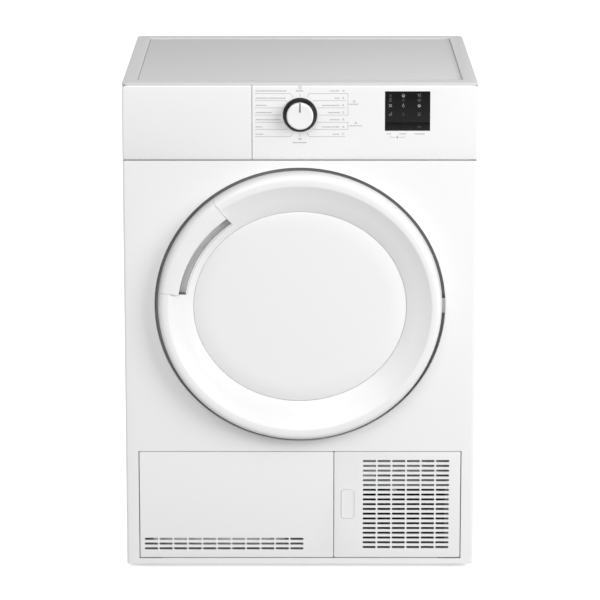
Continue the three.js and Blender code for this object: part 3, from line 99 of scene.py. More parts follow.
def soft_lamp(name, place, target, size, power):
    """Hangs a large square lamp at a place and aims it at a target."""
    bpy.ops.object.light_add(type="AREA", location=place)
    lamp = bpy.context.object
    lamp.name = name
    lamp.data.size = size
    lamp.data.energy = power
    lamp.rotation_euler = (Vector(target) - Vector(place)).to_track_quat("-Z", "Y").to_euler()
    return lamp


soft_lamp("front_box", (-0.9, -3.4, 2.5), (0, front, 0.4), 2.2, 50)
soft_lamp("right_box", (2.3, -1.9, 1.5), (0.25, front, 0.45), 1.5, 56)
soft_lamp("top_box", (0.2, 0.4, 3.2), (0, 0, 0.8), 2.0, 10)


# ---------------------------------------------------------------- front panel
# One pressed steel sheet, white powder coat, rolled at its outer edges, with an oval door opening and a
# low service opening. It hooks over the base tray below and is screwed to the crossrail above.
def clear():
    """Leaves edit mode with nothing selected."""
    if bpy.context.mode != "OBJECT":
        bpy.ops.object.mode_set(mode="OBJECT")
    bpy.ops.object.select_all(action="DESELECT")


def work_on(piece):
    """Makes one piece active and selected, alone."""
    clear()
    bpy.context.view_layer.objects.active = piece
    piece.select_set(True)


def edit(piece, kind="EDGE"):
    """Opens a piece in edit mode with nothing in it selected."""
    work_on(piece)
    bpy.ops.object.mode_set(mode="EDIT")
    bpy.ops.mesh.select_mode(type=kind)
    bpy.ops.mesh.select_all(action="DESELECT")
    return bmesh.from_edit_mesh(piece.data)


def pick(piece, kind, wanted):
    """Selects the vertices, edges or faces for which wanted(middle, part) holds, and tells how many."""
    shape = edit(piece, {"verts": "VERT", "edges": "EDGE", "faces": "FACE"}[kind])
    shape.normal_update()
    count = 0
    for part in getattr(shape, kind):
        if kind == "verts":
            middle = part.co
        elif kind == "edges":
            middle = (part.verts[0].co + part.verts[1].co) / 2
        else:
            middle = part.calc_center_median()
        if wanted(middle, part):
            part.select_set(True)
            count += 1
    shape.select_flush_mode()
    bmesh.update_edit_mesh(piece.data)
    return count


def fixed(piece):
    """Applies the piece's place to its mesh, so that its object sits at the origin."""
    work_on(piece)
    bpy.ops.object.transform_apply(location=True, rotation=True, scale=True)


def finished_with(piece, kind, **settings):
    """Adds one modifier to a piece and applies it."""
    work_on(piece)
    modifier = piece.modifiers.new(kind.lower(), kind)
    for key, value in settings.items():
        setattr(modifier, key, value)
    bpy.ops.object.modifier_apply(modifier=modifier.name)


def cut(piece, tool, operation="DIFFERENCE"):
    """Cuts a tool's shape out of a piece, or keeps what they share, and throws the tool away."""
    finished_with(piece, "BOOLEAN", object=tool, operation=operation, solver="EXACT")
    bpy.data.objects.remove(tool)


def smooth(piece, angle=32):
    """Shades a piece smooth, but keeps its sharp edges."""
    work_on(piece)
    bpy.ops.object.shade_smooth_by_angle(angle=math.radians(angle))
    clear()


def box_piece(name, low, high):
    """Adds a cube between two corners, to be shaped."""
    clear()
    low, high = Vector(low), Vector(high)
    bpy.ops.mesh.primitive_cube_add(size=1, location=(low + high) / 2)
    piece = bpy.context.object
    piece.name = name
    piece.scale = high - low
    fixed(piece)
    return piece


def lies_along(part, axis):
    """Whether an edge runs along one axis."""
    run = part.verts[0].co - part.verts[1].co
    return abs(run[axis]) > 0.999 * run.length


def round_edges(piece, wanted, radius, steps=4):
    """Rounds the chosen edges of a piece."""
    if pick(piece, "edges", wanted):
        bpy.ops.mesh.bevel(offset=radius, offset_type="OFFSET", segments=steps, profile=0.5, affect="EDGES")
    clear()


def oval_sweep(name, rings, middle, steps=144, closed=False, ends=False):
    """Draws a shell around Y from oval rings, each given as its half width, half height and y."""
    clear()
    bpy.ops.mesh.primitive_circle_add(
        vertices=steps, radius=1, location=(middle[0], rings[0][2], middle[1]), rotation=(math.pi / 2, 0, 0)
    )
    piece = bpy.context.object
    piece.name = name
    fixed(piece)
    edit(piece)
    bpy.ops.mesh.select_all(action="SELECT")
    centre = (middle[0], rings[0][2], middle[1])
    bpy.ops.transform.resize(value=(rings[0][0], 1, rings[0][1]), center_override=centre)
    if ends:
        bpy.ops.mesh.edge_face_add()
    for last, ring in zip(rings, rings[1:]):
        step = (0, ring[2] - last[2], 0)
        bpy.ops.mesh.extrude_region_move(TRANSFORM_OT_translate={"value": step})
        centre = (middle[0], ring[2], middle[1])
        grow = (ring[0] / last[0], 1, ring[1] / last[1])
        bpy.ops.transform.resize(value=grow, center_override=centre)
    if ends:
        bpy.ops.mesh.edge_face_add()
    if closed:
        bpy.ops.mesh.select_all(action="SELECT")
        bpy.ops.mesh.remove_doubles(threshold=0.00001)
    bpy.ops.mesh.select_all(action="SELECT")
    bpy.ops.mesh.normals_make_consistent(inside=False)
    clear()
    return piece


def hand_over(piece, body, slot, material, *nodes):
    """Gives a finished piece its material and its body, and hides the frame's nodes that it stands for. Its
    slot is not used.
    """
    piece.data.materials.clear()
    piece.data.materials.append(material)
    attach(piece, body)
    if nodes:
        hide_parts(*nodes)
    return piece


def socket_group(name, numbers, colours, puts_out):
    """Starts a shader node group with named inputs and outputs."""
    group = bpy.data.node_groups.new(name, "ShaderNodeTree")
    for label, value in numbers.items():
        group.interface.new_socket(label, in_out="INPUT", socket_type="NodeSocketFloat").default_value = value
    for label, value in colours.items():
        group.interface.new_socket(label, in_out="INPUT", socket_type="NodeSocketColor").default_value = value
    for label, kind in puts_out.items():
        group.interface.new_socket(label, in_out="OUTPUT", socket_type=kind)
    return group, group.nodes.new("NodeGroupInput"), group.nodes.new("NodeGroupOutput")


def add_node(tree, kind, **values):
    """Adds one node and sets its inputs that have the given names."""
    node = tree.nodes.new(kind)
    for label, value in values.items():
        node.inputs[label.replace("_", " ")].default_value = value
    return node


# The skin of a coated or moulded surface: a slow change of tone, and a fine grain that sets gloss and relief.
skin, skin_in, skin_out = socket_group(
    "surface_skin",
    {"Patch Scale": 6, "Grain Scale": 900, "Low Roughness": 0.35, "High Roughness": 0.45},
    {"Pale": (0.85, 0.85, 0.85, 1), "Deep": (0.8, 0.8, 0.8, 1)},
    {"Color": "NodeSocketColor", "Roughness": "NodeSocketFloat", "Height": "NodeSocketFloat"},
)
where = skin.nodes.new("ShaderNodeTexCoord")
patches = add_node(skin, "ShaderNodeTexNoise", Detail=3, Roughness=0.55)
grain = add_node(skin, "ShaderNodeTexNoise", Detail=2, Roughness=0.6)
tone = skin.nodes.new("ShaderNodeMix")
tone.data_type = "RGBA"
gloss = skin.nodes.new("ShaderNodeMapRange")
skin.links.new(where.outputs["Object"], patches.inputs["Vector"])
skin.links.new(where.outputs["Object"], grain.inputs["Vector"])
skin.links.new(skin_in.outputs["Patch Scale"], patches.inputs["Scale"])
skin.links.new(skin_in.outputs["Grain Scale"], grain.inputs["Scale"])
skin.links.new(patches.outputs["Fac"], tone.inputs["Factor"])
skin.links.new(skin_in.outputs["Pale"], tone.inputs[6])
skin.links.new(skin_in.outputs["Deep"], tone.inputs[7])
skin.links.new(grain.outputs["Fac"], gloss.inputs["Value"])
skin.links.new(skin_in.outputs["Low Roughness"], gloss.inputs["To Min"])
skin.links.new(skin_in.outputs["High Roughness"], gloss.inputs["To Max"])
skin.links.new(tone.outputs[2], skin_out.inputs["Color"])
skin.links.new(gloss.outputs["Result"], skin_out.inputs["Roughness"])
skin.links.new(grain.outputs["Fac"], skin_out.inputs["Height"])


def surface(name, colour, rough, deep=0.96, patch=6, grain_scale=900, bump=0.06, reach=0.0002, metal=0.0,
            specular=0.5, coat=0.0, clear_share=0.0):
    """Makes a finish from the surface skin."""
    material = bpy.data.materials.new(name)
    material.use_nodes = True
    tree = material.node_tree
    shader = tree.nodes["Principled BSDF"]
    shader.inputs["Metallic"].default_value = metal
    shader.inputs["Specular IOR Level"].default_value = specular
    shader.inputs["Coat Weight"].default_value = coat
    shader.inputs["Transmission Weight"].default_value = clear_share
    layer = tree.nodes.new("ShaderNodeGroup")
    layer.node_tree = skin
    layer.inputs["Patch Scale"].default_value = patch
    layer.inputs["Grain Scale"].default_value = grain_scale
    layer.inputs["Low Roughness"].default_value = rough[0]
    layer.inputs["High Roughness"].default_value = rough[1]
    layer.inputs["Pale"].default_value = (*colour, 1)
    layer.inputs["Deep"].default_value = (*(deep * c for c in colour), 1)
    relief = tree.nodes.new("ShaderNodeBump")
    relief.inputs["Strength"].default_value = bump
    relief.inputs["Distance"].default_value = reach
    tree.links.new(layer.outputs["Color"], shader.inputs["Base Color"])
    tree.links.new(layer.outputs["Roughness"], shader.inputs["Roughness"])
    tree.links.new(layer.outputs["Height"], relief.inputs["Height"])
    tree.links.new(relief.outputs["Normal"], shader.inputs["Normal"])
    return material


powder_coat = surface(
    "white_powder_coat", (0.8, 0.8, 0.8), (0.32, 0.42), deep=0.985, patch=3, grain_scale=620, bump=0.08,
    coat=0.1
)
panel_low, panel_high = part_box("front_panel")
panel = box_piece("front_sheet", panel_low, panel_high)
round_edges(panel, lambda m, e: lies_along(e, 2) and m.y < front + 0.001, 0.004, 6)
round_edges(panel, lambda m, e: lies_along(e, 1) and m.z < panel_low.z + 0.001 and abs(m.x) > 0.29, 0.009, 6)
pick(panel, "faces", lambda m, f: f.normal.y > 0.9 or f.normal.z > 0.9)
bpy.ops.mesh.delete(type="FACE")
clear()
finished_with(panel, "SOLIDIFY", thickness=0.0012, offset=-1)
door_middle = (0, 0.4654)
opening_wide = 0.2473
opening_tall = 0.2378
opening = oval_sweep(
    "opening_tool",
    [(opening_wide, opening_tall, front - 0.01), (opening_wide, opening_tall, front + 0.03)],
    door_middle,
    ends=True,
)
cut(panel, opening)
service = box_piece("service_tool", (-0.277, front - 0.01, 0.0176), (0.277, front + 0.01, 0.2091))
round_edges(service, lambda m, e: lies_along(e, 1), 0.0008, 4)
cut(panel, service)
smooth(panel, 25)
# The edge of the opening is rolled inwards, and carries the plastic ring behind it.
roll = oval_sweep(
    "front_opening_roll",
    [
        (opening_wide, opening_tall, front + 0.0001),
        (0.2468, 0.2373, front + 0.0006),
        (0.2466, 0.2371, front + 0.0016),
        (0.2466, 0.2371, front + 0.0044),
        (0.2476, 0.2381, front + 0.0044),
        (0.2478, 0.2383, front + 0.0009),
        (opening_wide, opening_tall, front + 0.0001),
    ],
    door_middle,
    closed=True,
)
smooth(roll, 40)
hand_over(panel, "cabinet", "white_paint", powder_coat, "front_panel")
hand_over(roll, "cabinet", "white_paint", powder_coat)


# ---------------------------------------------------------------- door
# The door's outside is three white ABS mouldings: a rim with its cone, a flat centre disc that snaps in from
# behind, and a handle that is screwed into the rim at the upper left. The seams between them stay visible.
moulded_white = surface(
    "moulded_white", (0.785, 0.785, 0.785), (0.3, 0.4), deep=0.988, patch=4, grain_scale=1500, bump=0.04,
    coat=0.15
)
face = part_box("door_rim")[0].y
rim_half = (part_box("door_rim")[1].x, 0.2321)
cone_top = (0.2226, 0.2104)
cone_foot = (0.1806, 0.1644)
cone_depth = 0.019
handle_from = 128.5
handle_to = 173.4


def tidy_normals(piece):
    """Merges a piece's doubles and turns its faces outwards."""
    edit(piece, "VERT")
    bpy.ops.mesh.select_all(action="SELECT")
    bpy.ops.mesh.remove_doubles(threshold=0.00001)
    bpy.ops.mesh.normals_make_consistent(inside=False)
    clear()


def rim_ring(inset, behind):
    """A ring of the door's edge, so far in from the widest oval and so far behind the door's face."""
    return (rim_half[0] - inset, rim_half[1] - inset, face + behind)


def cone_ring(across, behind=None, inset=0.0):
    """A ring on the door's cone, by its half width."""
    share = (cone_top[0] - across) / (cone_top[0] - cone_foot[0])
    tall = cone_top[1] + (cone_foot[1] - cone_top[1]) * share
    depth = cone_depth * share if behind is None else behind
    return (across - inset, tall - inset, face + depth)


def sector_tool(name, start, end, reach, y_low, y_high):
    """A wedge around the door's middle, from one angle to another, to cut with."""
    tool = box_piece(name, (-1, y_low, -1), (1, y_high, 1))
    shape = edit(tool, "VERT")
    middle_angle = math.radians((start + end) / 2)
    corners = {
        (False, False): (0, 0),
        (True, False): (reach * math.cos(math.radians(start)), reach * math.sin(math.radians(start))),
        (True, True): (1.2 * reach * math.cos(middle_angle), 1.2 * reach * math.sin(middle_angle)),
        (False, True): (reach * math.cos(math.radians(end)), reach * math.sin(math.radians(end))),
    }
    for vert in shape.verts:
        across, up = corners[(vert.co.x > 0, vert.co.z > 0)]
        vert.co = (door_middle[0] + across, vert.co.y, door_middle[1] + up)
    bmesh.update_edit_mesh(tool.data)
    clear()
    tidy_normals(tool)
    return tool


outer_edge = [
    rim_ring(0, 0.032),
    rim_ring(0.003, 0.008),
    rim_ring(0.0034, 0.0056),
    rim_ring(0.0046, 0.0032),
    rim_ring(0.0066, 0.0014),
    rim_ring(0.0092, 0.0004),
    rim_ring(0.0125, 0),
]
rim = oval_sweep(
    "door_rim_moulding",
    outer_edge
    + [
        (cone_top[0] + 0.0014, cone_top[1] + 0.0014, face),
        cone_ring(cone_top[0] - 0.0001, 0.0004),
        cone_ring(cone_top[0] - 0.0016, 0.0014),
        cone_ring(0.2),
        cone_ring(cone_foot[0] + 0.0016, cone_depth - 0.0012),
        cone_ring(cone_foot[0], cone_depth - 0.0002),
        cone_ring(cone_foot[0], cone_depth + 0.0025),
        (cone_top[0], cone_top[1], face + 0.0025),
        rim_ring(0.0125, 0.0025),
        rim_ring(0.0075, 0.0044),
        rim_ring(0.0055, 0.008),
        rim_ring(0.0025, 0.032),
        rim_ring(0, 0.032),
    ],
    door_middle,
    steps=192,
    closed=True,
)
pocket_inner = cone_top[0] - 0.03
seat = oval_sweep(
    "seat_tool",
    [
        cone_ring(pocket_inner, -0.005, 0.0004),
        (0.26, 0.25, face - 0.005),
        (0.26, 0.25, face + 0.04),
        cone_ring(pocket_inner, 0.04, 0.0004),
        cone_ring(pocket_inner, -0.005, 0.0004),
    ],
    door_middle,
    closed=True,
)
cut(seat, sector_tool("seat_sector", handle_from, handle_to, 0.36, face - 0.006, face + 0.041), "INTERSECT")
cut(rim, seat)
smooth(rim, 28)
hand_over(rim, "door", "white_plastic", moulded_white, "door_rim")

grip = cone_top[0] - 0.017
back = cone_top[0] - 0.002
handle = oval_sweep(
    "door_handle_moulding",
    outer_edge
    + [
        cone_ring(grip + 0.0016, 0, -0.001),
        cone_ring(grip + 0.0004, 0.0005, -0.001),
        cone_ring(grip, 0.0018, -0.001),
        cone_ring(grip + 0.0004, 0.0038, -0.001),
        cone_ring(grip + 0.0016, 0.0045, -0.001),
        cone_ring(back, 0.0045),
        cone_ring(back, 0.0225),
        cone_ring(back - 0.0025, 0.025),
        cone_ring(pocket_inner + 0.0045, 0.025),
        cone_ring(pocket_inner + 0.002, 0.0225),
        cone_ring(pocket_inner + 0.002),
        cone_ring(pocket_inner),
        cone_ring(pocket_inner, 0.027),
        cone_ring(back + 0.002, 0.027),
        cone_ring(back + 0.002, 0.0045),
        rim_ring(0.0085, 0.0045),
        rim_ring(0.0055, 0.008),
        rim_ring(0.0025, 0.032),
        rim_ring(0, 0.032),
    ],
    door_middle,
    steps=192,
    closed=True,
)
sector = sector_tool("handle_sector", handle_from + 0.12, handle_to - 0.12, 0.36, face - 0.006, face + 0.041)
cut(handle, sector, "INTERSECT")
smooth(handle, 28)
hand_over(handle, "door", "white_plastic", moulded_white, "door_handle")

disc_half = (cone_foot[0] - 0.0004, cone_foot[1] - 0.0004)
disc_face = face + cone_depth
disc = oval_sweep(
    "door_centre_disc",
    [
        (0.03, 0.03 * cone_foot[1] / cone_foot[0], disc_face),
        (disc_half[0] - 0.03, disc_half[1] - 0.03, disc_face),
        (disc_half[0] - 0.0008, disc_half[1] - 0.0008, disc_face),
        (disc_half[0] - 0.0002, disc_half[1] - 0.0002, disc_face + 0.0003),
        (disc_half[0], disc_half[1], disc_face + 0.0009),
        (disc_half[0], disc_half[1], disc_face + 0.0029),
        (disc_half[0] + 0.0054, disc_half[1] + 0.0054, disc_face + 0.0029),
        (disc_half[0] + 0.0054, disc_half[1] + 0.0054, disc_face + 0.0045),
        (0.06, 0.06 * cone_foot[1] / cone_foot[0], disc_face + 0.0045),
    ],
    door_middle,
    steps=192,
    ends=True,
)
smooth(disc, 28)
hand_over(disc, "door", "white_plastic", moulded_white, "door_disc")

# The inner panel is one grey-white polypropylene moulding that bulges into the loading mouth. It is fixed to
# the rim from behind, and its middle is stiffened by a raised ring.
satin_grey = surface(
    "satin_grey_plastic", (0.62, 0.63, 0.64), (0.38, 0.5), patch=5, grain_scale=1200, bump=0.1
)
bulge_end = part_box("door_inner_panel")[1].y
edge_half = (rim_half[0] - 0.0029, rim_half[1] - 0.0029)
inner = oval_sweep(
    "door_inner_moulding",
    [
        (0.03, 0.03, bulge_end - 0.0072),
        (0.116, 0.116, bulge_end - 0.0072),
        (0.15, 0.15, bulge_end - 0.0034),
        (0.178, 0.178, bulge_end - 0.0025),
        (0.186, 0.186, bulge_end - 0.008),
        (0.188, 0.188, face + 0.0296),
        (edge_half[0], edge_half[1], face + 0.0296),
        (edge_half[0], edge_half[1], face + 0.0316),
        (edge_half[0] - 0.0006, edge_half[1] - 0.0006, face + 0.032),
        (0.2008, 0.1996, face + 0.032),
        (0.1922, 0.1922, face + 0.0326),
        (0.1906, 0.1906, face + 0.0336),
        (0.189, 0.189, bulge_end - 0.009),
        (0.1876, 0.1876, bulge_end - 0.0046),
        (0.1846, 0.1846, bulge_end - 0.0014),
        (0.18, 0.18, bulge_end),
        (0.1525, 0.1525, bulge_end),
        (0.15, 0.15, bulge_end - 0.0014),
        (0.118, 0.118, bulge_end - 0.0046),
        (0.1155, 0.1155, bulge_end - 0.0052),
        (0.03, 0.03, bulge_end - 0.0052),
    ],
    door_middle,
    steps=160,
    ends=True,
)
smooth(inner, 30)
hand_over(inner, "door", "grey_plastic", satin_grey, "door_inner_panel")


# ---------------------------------------------------------------- control fascia
# A white ABS moulding that clips to the crossrail. Its lowest band slopes back to the seam above the front
# sheet, its outer corner is round, and the water tank's drawer fills the place left of it.
def moulded_front(name, low, high, open_side, outer=0.003, corner=0.009, band=0.019, slope=0.004, wall=0.003):
    """Shapes a front moulding with a sloping lowest band. It is round on the side away from open_side."""
    piece = box_piece(name, low, high)
    away = -open_side
    edit(piece)
    bpy.ops.mesh.select_all(action="SELECT")
    bpy.ops.mesh.bisect(plane_co=(0, 0, low[2] + band), plane_no=(0, 0, 1))
    pick(piece, "verts", lambda m, v: m.y < low[1] + 0.0001 and m.z < low[2] + 0.0001)
    bpy.ops.transform.translate(value=(0, slope, 0))
    limit = low[0] if away < 0 else high[0]
    round_edges(
        piece, lambda m, e: lies_along(e, 1) and abs(m.x - limit) < 1e-4 and m.z > high[2] - 1e-4, corner, 8
    )

    def outline(m, e):
        """The edges around the front face, apart from the seam towards the neighbour."""
        at_front = all(v.co.y < low[1] + slope + 1e-4 for v in e.verts)
        return at_front and any(abs(f.normal.y) < 0.15 for f in e.link_faces) and (
            away * (m.x - limit) > -corner - 1e-4 or abs(m.z - high[2]) < 1e-4
        ) and not (lies_along(e, 0) and m.z < low[2] + 1e-4)

    round_edges(piece, outline, outer, 5)
    pick(piece, "faces", lambda m, f: f.normal.y > 0.9)
    bpy.ops.mesh.delete(type="FACE")
    clear()
    finished_with(piece, "SOLIDIFY", thickness=wall, offset=-1)
    return piece


fascia_low, fascia_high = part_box("control_fascia")
fascia_left = -0.08
fascia = moulded_front(
    "fascia_moulding",
    (fascia_left, front, fascia_low.z),
    (fascia_high.x, front + 0.0128, fascia_high.z),
    open_side=-1,
)
window_low, window_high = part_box("display_window")
keys_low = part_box("key_1")[0]
window_tool = box_piece(
    "window_tool",
    (window_low.x - 0.0004, front - 0.002, keys_low.z - 0.0004),
    (window_high.x + 0.0004, front + 0.02, window_high.z + 0.0004),
)
cut(fascia, window_tool)
knob_z = (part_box("knob_skirt")[0].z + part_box("knob_skirt")[1].z) / 2
stem_tool = oval_sweep(
    "stem_tool", [(0.0065, 0.0065, front - 0.002), (0.0065, 0.0065, front + 0.02)], (0, knob_z), 48, ends=True
)
cut(fascia, stem_tool)
smooth(fascia, 28)
hand_over(fascia, "cabinet", "white_plastic", moulded_white, "control_fascia")

# Behind the drawer's front the fascia goes on as a plain bezel with a passage for the tank.
bezel = box_piece(
    "fascia_bezel", (-0.2969, front + 0.015, fascia_low.z + 0.001),
    (fascia_left, front + 0.018, fascia_high.z - 0.001)
)
tank_low, tank_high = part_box("water_tank")
passage = box_piece(
    "passage_tool",
    (tank_low.x - 0.0015, front + 0.01, tank_low.z - 0.0015),
    (tank_high.x + 0.0015, front + 0.02, tank_high.z + 0.0015),
)
round_edges(passage, lambda m, e: lies_along(e, 1), 0.004, 4)
cut(bezel, passage)
finished_with(bezel, "BEVEL", width=0.0005, segments=2, limit_method="ANGLE", angle_limit=math.radians(40))
smooth(bezel)
hand_over(bezel, "cabinet", "white_plastic", moulded_white)

# The programme legend is screen printed in one grey ink: seven guide lines on each side of the knob, two
# brackets, and short marks in place of words.
ink_grey = surface("printed_grey_ink", (0.3, 0.3, 0.31), (0.45, 0.55), deep=0.93, grain_scale=2500, bump=0.02)
ink_face = front - 0.00005


def start_print(name):
    """Opens a new printed piece in edit mode, ready for its marks."""
    piece = box_piece(name, (0, ink_face - 0.00002, 0), (0.0001, ink_face, 0.0001))
    edit(piece)
    bpy.ops.mesh.select_all(action="SELECT")
    bpy.ops.mesh.delete(type="VERT")
    return piece


def mark(x, z, wide, tall, turn=0.0):
    """Adds one thin bar of ink, centred at x and z."""
    bpy.ops.mesh.primitive_cube_add(
        size=1, location=(x, ink_face, z), rotation=(0, math.radians(turn), 0), scale=(wide, 0.00006, tall)
    )


def stroke(x0, z0, x1, z1, width=0.0006):
    """Adds one line of ink between two points."""
    turn = -math.degrees(math.atan2(z1 - z0, x1 - x0))
    mark((x0 + x1) / 2, (z0 + z1) / 2, math.hypot(x1 - x0, z1 - z0) + width * 0.5, width, turn)


def word_marks(x0, x1, z, dice, tall=0.0021):
    """Adds a run of small upright marks where a word would stand."""
    x = x0
    while x < x1 - 0.0008:
        wide = dice.uniform(0.0007, 0.0013)
        lift = dice.choice((0, 0, 0.0004, -0.0003))
        mark(x + wide / 2, z + lift / 2, wide, tall * 0.72 + abs(lift))
        x += wide + 0.0006
    return x


def ring_mark(x, z, radius, width=0.0005, sides=20):
    """Adds a small ring of ink."""
    for side in range(sides):
        a0 = 2 * math.pi * side / sides
        a1 = 2 * math.pi * (side + 1) / sides
        stroke(
            x + radius * math.cos(a0), z + radius * math.sin(a0), x + radius * math.cos(a1),
            z + radius * math.sin(a1), width,
        )


dice = random.Random(4)
row_step = 0.0122
legend = start_print("programme_legend")
inner_reach = [0.0155, 0.0237, 0.0285, 0.0316, 0.0285, 0.0237, 0.0155]
left_words = [0.0, 0.0006, 0.033, 0.0245, 0.0093, 0.0393, 0.0385]
right_words = [0.05, 0.0583, 0.037, 0.0466, 0.05, 0.037, 0.055]
for row in range(7):
    z = knob_z + (3 - row) * row_step - 0.0005
    reach = inner_reach[row]
    right_end = 0.0803 if row in (0, 3, 4, 5) else 0.0757
    stroke(-0.0755, z, -reach, z)
    stroke(reach, z, right_end, z)
    if row in (0, 1, 5, 6):
        lean = 0.0034 if row in (0, 6) else 0.0016
        fall = (0.0058 if row in (0, 6) else 0.0018) * (1 if row > 3 else -1)
        stroke(-reach, z, -reach + lean, z + fall)
        stroke(reach, z, reach - lean, z + fall)
    word_end = -0.0228 - left_words[row]
    word_marks(-0.0742, word_end, z + 0.0042, dice)
    word_marks(right_words[row], 0.0665, z + 0.0042, dice)
    if row % 3 == 0:
        ring_mark(0.0725, z + 0.0045, 0.0016, sides=12)
    else:
        mark(0.0725, z + 0.0034, 0.0032, 0.0006)
        stroke(0.0709, z + 0.0036, 0.0725, z + 0.0062)
        stroke(0.0725, z + 0.0062, 0.0741, z + 0.0036)
for top_row, low_row, label_from, label_to in ((0, 3, 0.0835, 0.098), (4, 5, 0.0832, 0.104)):
    z_top = knob_z + (3 - top_row) * row_step - 0.0005
    z_low = knob_z + (3 - low_row) * row_step - 0.0005
    stroke(0.0803, z_top, 0.0803, z_low)
    z_tick = (z_top + z_low) / 2
    stroke(0.0803, z_tick, 0.0822, z_tick)
    word_marks(label_from, label_to, z_tick, dice)
    label_middle = (label_from + label_to) / 2
    stroke(label_middle - 0.0018, z_tick + 0.0036, label_middle, z_tick + 0.0072)
    stroke(label_middle + 0.0018, z_tick + 0.0036, label_middle, z_tick + 0.0072)
    stroke(label_middle - 0.0018, z_tick + 0.0036, label_middle + 0.0018, z_tick + 0.0036)
stroke(0, knob_z + 0.031, 0, knob_z + 0.0362)
stroke(0, knob_z - 0.031, 0, knob_z - 0.0372)
ring_mark(0, knob_z + 0.0462, 0.0027)
stroke(0, knob_z + 0.0452, 0, knob_z + 0.0474, 0.0008)
word_marks(-0.0068, 0.0068, knob_z + 0.0404, dice, 0.0023)
ring_mark(-0.0012, knob_z - 0.0412, 0.0012, sides=12)
ring_mark(0.0014, knob_z - 0.0412, 0.0012, sides=12)
word_marks(-0.0122, 0.0122, knob_z - 0.0474, dice)
panel_foot = keys_low.z
for word_from, word_to in ((0.1455, 0.1535), (0.1665, 0.1785), (0.192, 0.2105)):
    word_marks(word_from, word_to, panel_foot - 0.0056, dice)
stroke(0.1515, panel_foot - 0.0112, 0.1598, panel_foot - 0.0112)
stroke(0.1668, panel_foot - 0.0112, 0.1752, panel_foot - 0.0112)
stroke(0.1515, panel_foot - 0.0112, 0.1515, panel_foot - 0.0098)
stroke(0.1752, panel_foot - 0.0112, 0.1752, panel_foot - 0.0098)
mark(0.1633, panel_foot - 0.0118, 0.0028, 0.0022)
ring_mark(0.1633, panel_foot - 0.0103, 0.001, sides=10)
clear()
hand_over(legend, "cabinet", "white_plastic", ink_grey)


# ---------------------------------------------------------------- water tank and its drawer
# The drawer's front is one more white ABS moulding, and mirrors the fascia beside it. The tank behind it is a
# blow-moulded polypropylene bottle with rounded edges, ribs on its top and a filling hole near its rear end.
drawer_low, drawer_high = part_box("tank_drawer_front")
drawer_front = moulded_front("drawer_front_moulding", drawer_low, drawer_high, open_side=1)
smooth(drawer_front, 28)
hand_over(drawer_front, "tank_drawer", "white_plastic", moulded_white, "tank_drawer_front")

milky = surface(
    "milky_polypropylene", (0.72, 0.75, 0.77), (0.28, 0.4), deep=0.94, patch=9, grain_scale=700, bump=0.08,
    specular=0.4
)
tank = box_piece("tank_bottle", tank_low, tank_high)
round_edges(tank, lambda m, e: lies_along(e, 1), 0.007, 5)
round_edges(
    tank,
    lambda m, e: abs(m.y - tank_low.y) < 1e-5 or abs(m.y - tank_high.y) < 1e-5,
    0.005,
    4,
)
rib_y = tank_low.y + 0.07
while rib_y < tank_high.y - 0.08:
    groove = box_piece(
        "groove_tool", (tank_low.x + 0.02, rib_y, tank_high.z - 0.0016),
        (tank_high.x - 0.02, rib_y + 0.008, tank_high.z + 0.01)
    )
    round_edges(groove, lambda m, e: lies_along(e, 2), 0.0035, 3)
    cut(tank, groove)
    rib_y += 0.034
clear()
port_x = (tank_low.x + tank_high.x) / 2
port_y = tank_high.y - 0.04
bpy.ops.mesh.primitive_cylinder_add(
    vertices=48, radius=0.013, depth=0.012, location=(port_x, port_y, tank_high.z)
)
cut(tank, bpy.context.object)
finished_with(tank, "BEVEL", width=0.0007, segments=2, limit_method="ANGLE", angle_limit=math.radians(50))
smooth(tank, 40)
hand_over(tank, "tank_drawer", "tank_plastic", milky, "water_tank")


# ---------------------------------------------------------------- programme knob
# A glossy black skirt on the encoder's shaft, with a white cap pressed into it. A black pointer is let into
# the cap's face.
gloss_black = surface(
    "gloss_black", (0.007, 0.007, 0.0075), (0.16, 0.24), deep=0.8, grain_scale=1800, bump=0.02,
    specular=0.22, coat=0.06
)
skirt_low, skirt_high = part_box("knob_skirt")
cap_low, cap_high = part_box("knob_cap")
knob_r = skirt_high.x
cap_r = cap_high.x
skirt = oval_sweep(
    "knob_skirt_ring",
    [
        (r, r, y)
        for r, y in (
            (0.004, skirt_high.y),
            (0.004, front - 0.0005),
            (knob_r - 0.0004, front - 0.0005),
            (knob_r, front - 0.001),
            (knob_r, front - 0.0018),
            (knob_r - 0.0009, front - 0.0036),
            (cap_r + 0.0024, skirt_low.y + 0.0004),
            (cap_r + 0.0014, skirt_low.y),
            (cap_r + 0.0006, skirt_low.y),
            (cap_r + 0.0004, skirt_low.y + 0.0012),
            (0.012, skirt_low.y + 0.0012),
        )
    ],
    (0, knob_z),
    96,
    ends=True,
)
smooth(skirt, 40)
hand_over(skirt, "knob", "black_gloss", gloss_black, "knob_skirt")
cap = oval_sweep(
    "knob_cap_moulding",
    [
        (r, r, y)
        for r, y in (
            (0.012, skirt_low.y + 0.0002),
            (cap_r, skirt_low.y + 0.0002),
            (cap_r, cap_low.y + 0.0026),
            (cap_r - 0.0002, cap_low.y + 0.0016),
            (cap_r - 0.0008, cap_low.y + 0.0007),
            (cap_r - 0.0018, cap_low.y + 0.0001),
            (cap_r - 0.003, cap_low.y),
            (cap_r - 0.0046, cap_low.y + 0.0001),
            (0.008, cap_low.y + 0.0007),
        )
    ],
    (0, knob_z),
    96,
    ends=True,
)
smooth(cap, 40)
hand_over(cap, "knob", "white_plastic", moulded_white, "knob_cap")
pointer = box_piece(
    "knob_pointer", (-0.0009, cap_low.y - 0.00012, knob_z + 0.0072),
    (0.0009, cap_low.y + 0.003, knob_z + cap_r + 0.0001)
)
round_edges(pointer, lambda m, e: lies_along(e, 1), 0.0004, 3)
smooth(pointer)
